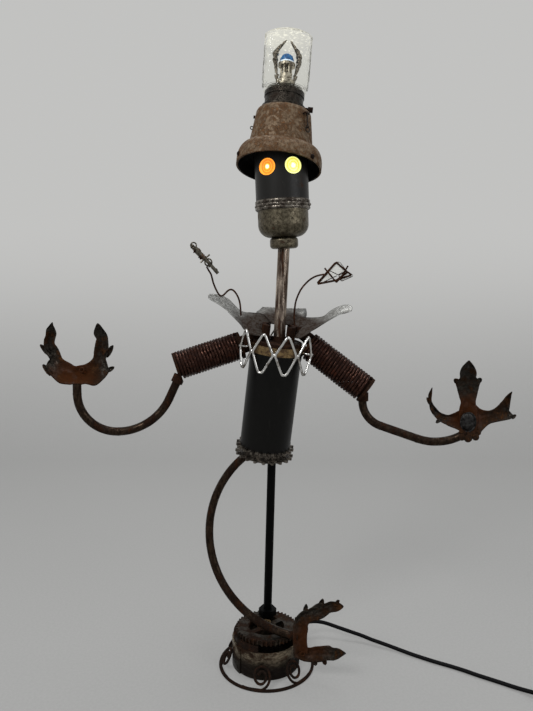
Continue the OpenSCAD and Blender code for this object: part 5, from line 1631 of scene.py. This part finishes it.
@dataclass
class Studio:
    """The camera, the soft lamps, the pale floor and the pale room."""

    dip: float = 4.716
    sensor: tuple[float, float] = (36.0, 24.0)
    floor_half: float = 6000.0
    wall_at: float = 1700.0
    bend: float = 500.0
    haze: tuple[float, float, float, float] = (-0.1, 0.9, 0.36, 0.97)
    sky: Colour = (0.9, 0.92, 0.95)
    sky_glow: tuple[float, float] = (0.27, 0.5)
    pale: Colour = (0.55, 0.55, 0.54)
    ground: tuple[Colour, Colour] = ((0.33, 0.33, 0.324), (0.41, 0.409, 0.4))
    gap: float = 0.0002
    lamps: tuple[tuple, ...] = (
        ("key", (-1.1, -1.5, 1.9), 0.5, 0.9, 26.0, (1.0, 1.0, 1.0)),
        ("fill", (1.6, -1.2, 1.2), 0.5, 1.2, 9.0, (0.95, 0.97, 1.0)),
        ("top", (0.1, 0.3, 2.2), 0.4, 1.2, 14.0, (1.0, 1.0, 1.0)))

    def camera(self) -> None:
        """Set the camera up."""
        data = bpy.data.cameras.new("camera")
        data.sensor_fit = "VERTICAL"
        data.sensor_width, data.sensor_height = self.sensor
        data.lens = data.sensor_height * FOCAL_PIXELS / PICTURE_HEIGHT
        data.clip_start = 0.02
        camera = add_object("camera", data)
        camera.location = EYE * MM
        camera.rotation_euler = (math.radians(90.0 - self.dip), 0.0, 0.0)
        bpy.context.scene.camera = camera

    def lamp(self, name: str, place: Point, aim: float, size: float, power: float, colour: Colour) -> None:
        """Hang one soft lamp.

        Args:
            name: Its name.
            place: Where it hangs.
            aim: Height of the point that it faces, over the origin.
            size: Length across it.
            power: Its power in watts.
            colour: Its colour.
        """
        data = bpy.data.lights.new(name, "AREA")
        data.shape = "DISK"
        data.size = size
        data.energy = power
        data.color = colour
        lamp = add_object(name, data)
        lamp.location = place
        lamp.rotation_euler = (Vector(place) - UPRIGHT * aim).to_track_quat("Z", "Y").to_euler()
        lamp.visible_transmission = False

    def floor(self) -> None:
        """Lay the floor, bent up into a wall that pales with its height."""
        g = Graph("pale_floor")
        speck = g.cloud(0.004, 4.0, 0.7).fade(0.35, 0.65)
        broad = g.cloud(0.3, 3.0, 0.5)
        colour = g.blend(speck * 0.5 + broad * 0.2, *self.ground)
        dust = g.principled(Base_Color=colour, Roughness=0.8, Specular_IOR_Level=0.2)
        wall = g.node("ShaderNodeEmission", {}, {0: self.pale, 1: 1.0})
        look = g.close(g.mix(g.height().fade(*self.haze) * g.in_view(), dust, wall))
        foot, half = self.wall_at - self.bend, self.floor_half
        profile = [(-half, 0.0), (foot, 0.0)]
        profile += [(foot + self.bend * math.sin(a), self.bend - self.bend * math.cos(a))
                    for a in (math.pi / 2 * k / 10 for k in range(1, 11))]
        profile += [(self.wall_at, half)]
        shape = Shape()
        shape.grid([[Vector((x, y, z)) for x in (-half, half)] for y, z in profile])
        ground = shape.finish("ground", look, "", "")
        ground.location.z = -self.gap

    def room(self) -> None:
        """Light the room with an even pale sky that rays see as a pale wall."""
        g = Graph("room", world=True)
        soft, clear = (g.node("ShaderNodeBackground", {}, {"Color": self.sky, "Strength": glow})
                       for glow in self.sky_glow)
        bpy.context.scene.world = g.close(g.mix(g.in_view(), soft, clear), "World")

    def make(self) -> None:
        """Set the whole studio up."""
        bpy.context.scene.view_settings.view_transform = "Standard"
        self.floor()
        self.room()
        for lamp in self.lamps:
            self.lamp(*lamp)


def main() -> None:
    """Build the lamp and its studio."""
    logging.basicConfig(level=logging.INFO, format="%(message)s")
    studio = Studio()
    studio.camera()
    rubber = Moulded("black_rubber", (0.0025, 0.0025, 0.0028), (0.01, 0.0095, 0.009), gloss=0.08)
    plastic = Moulded("black_plastic", (0.006, 0.006, 0.0065), (0.03, 0.028, 0.026), 0.36)
    red = Moulded("red_plastic", (0.42, 0.012, 0.01), (0.2, 0.02, 0.02), 0.3)
    Leads().make(rubber.make(), plastic.make(), red.make())
    dressing = Dressing()
    dressing.solids()
    dressing.body()
    dressing.wires()
    dressing.arms()
    studio.make()


if __name__ == "__main__":
    main()
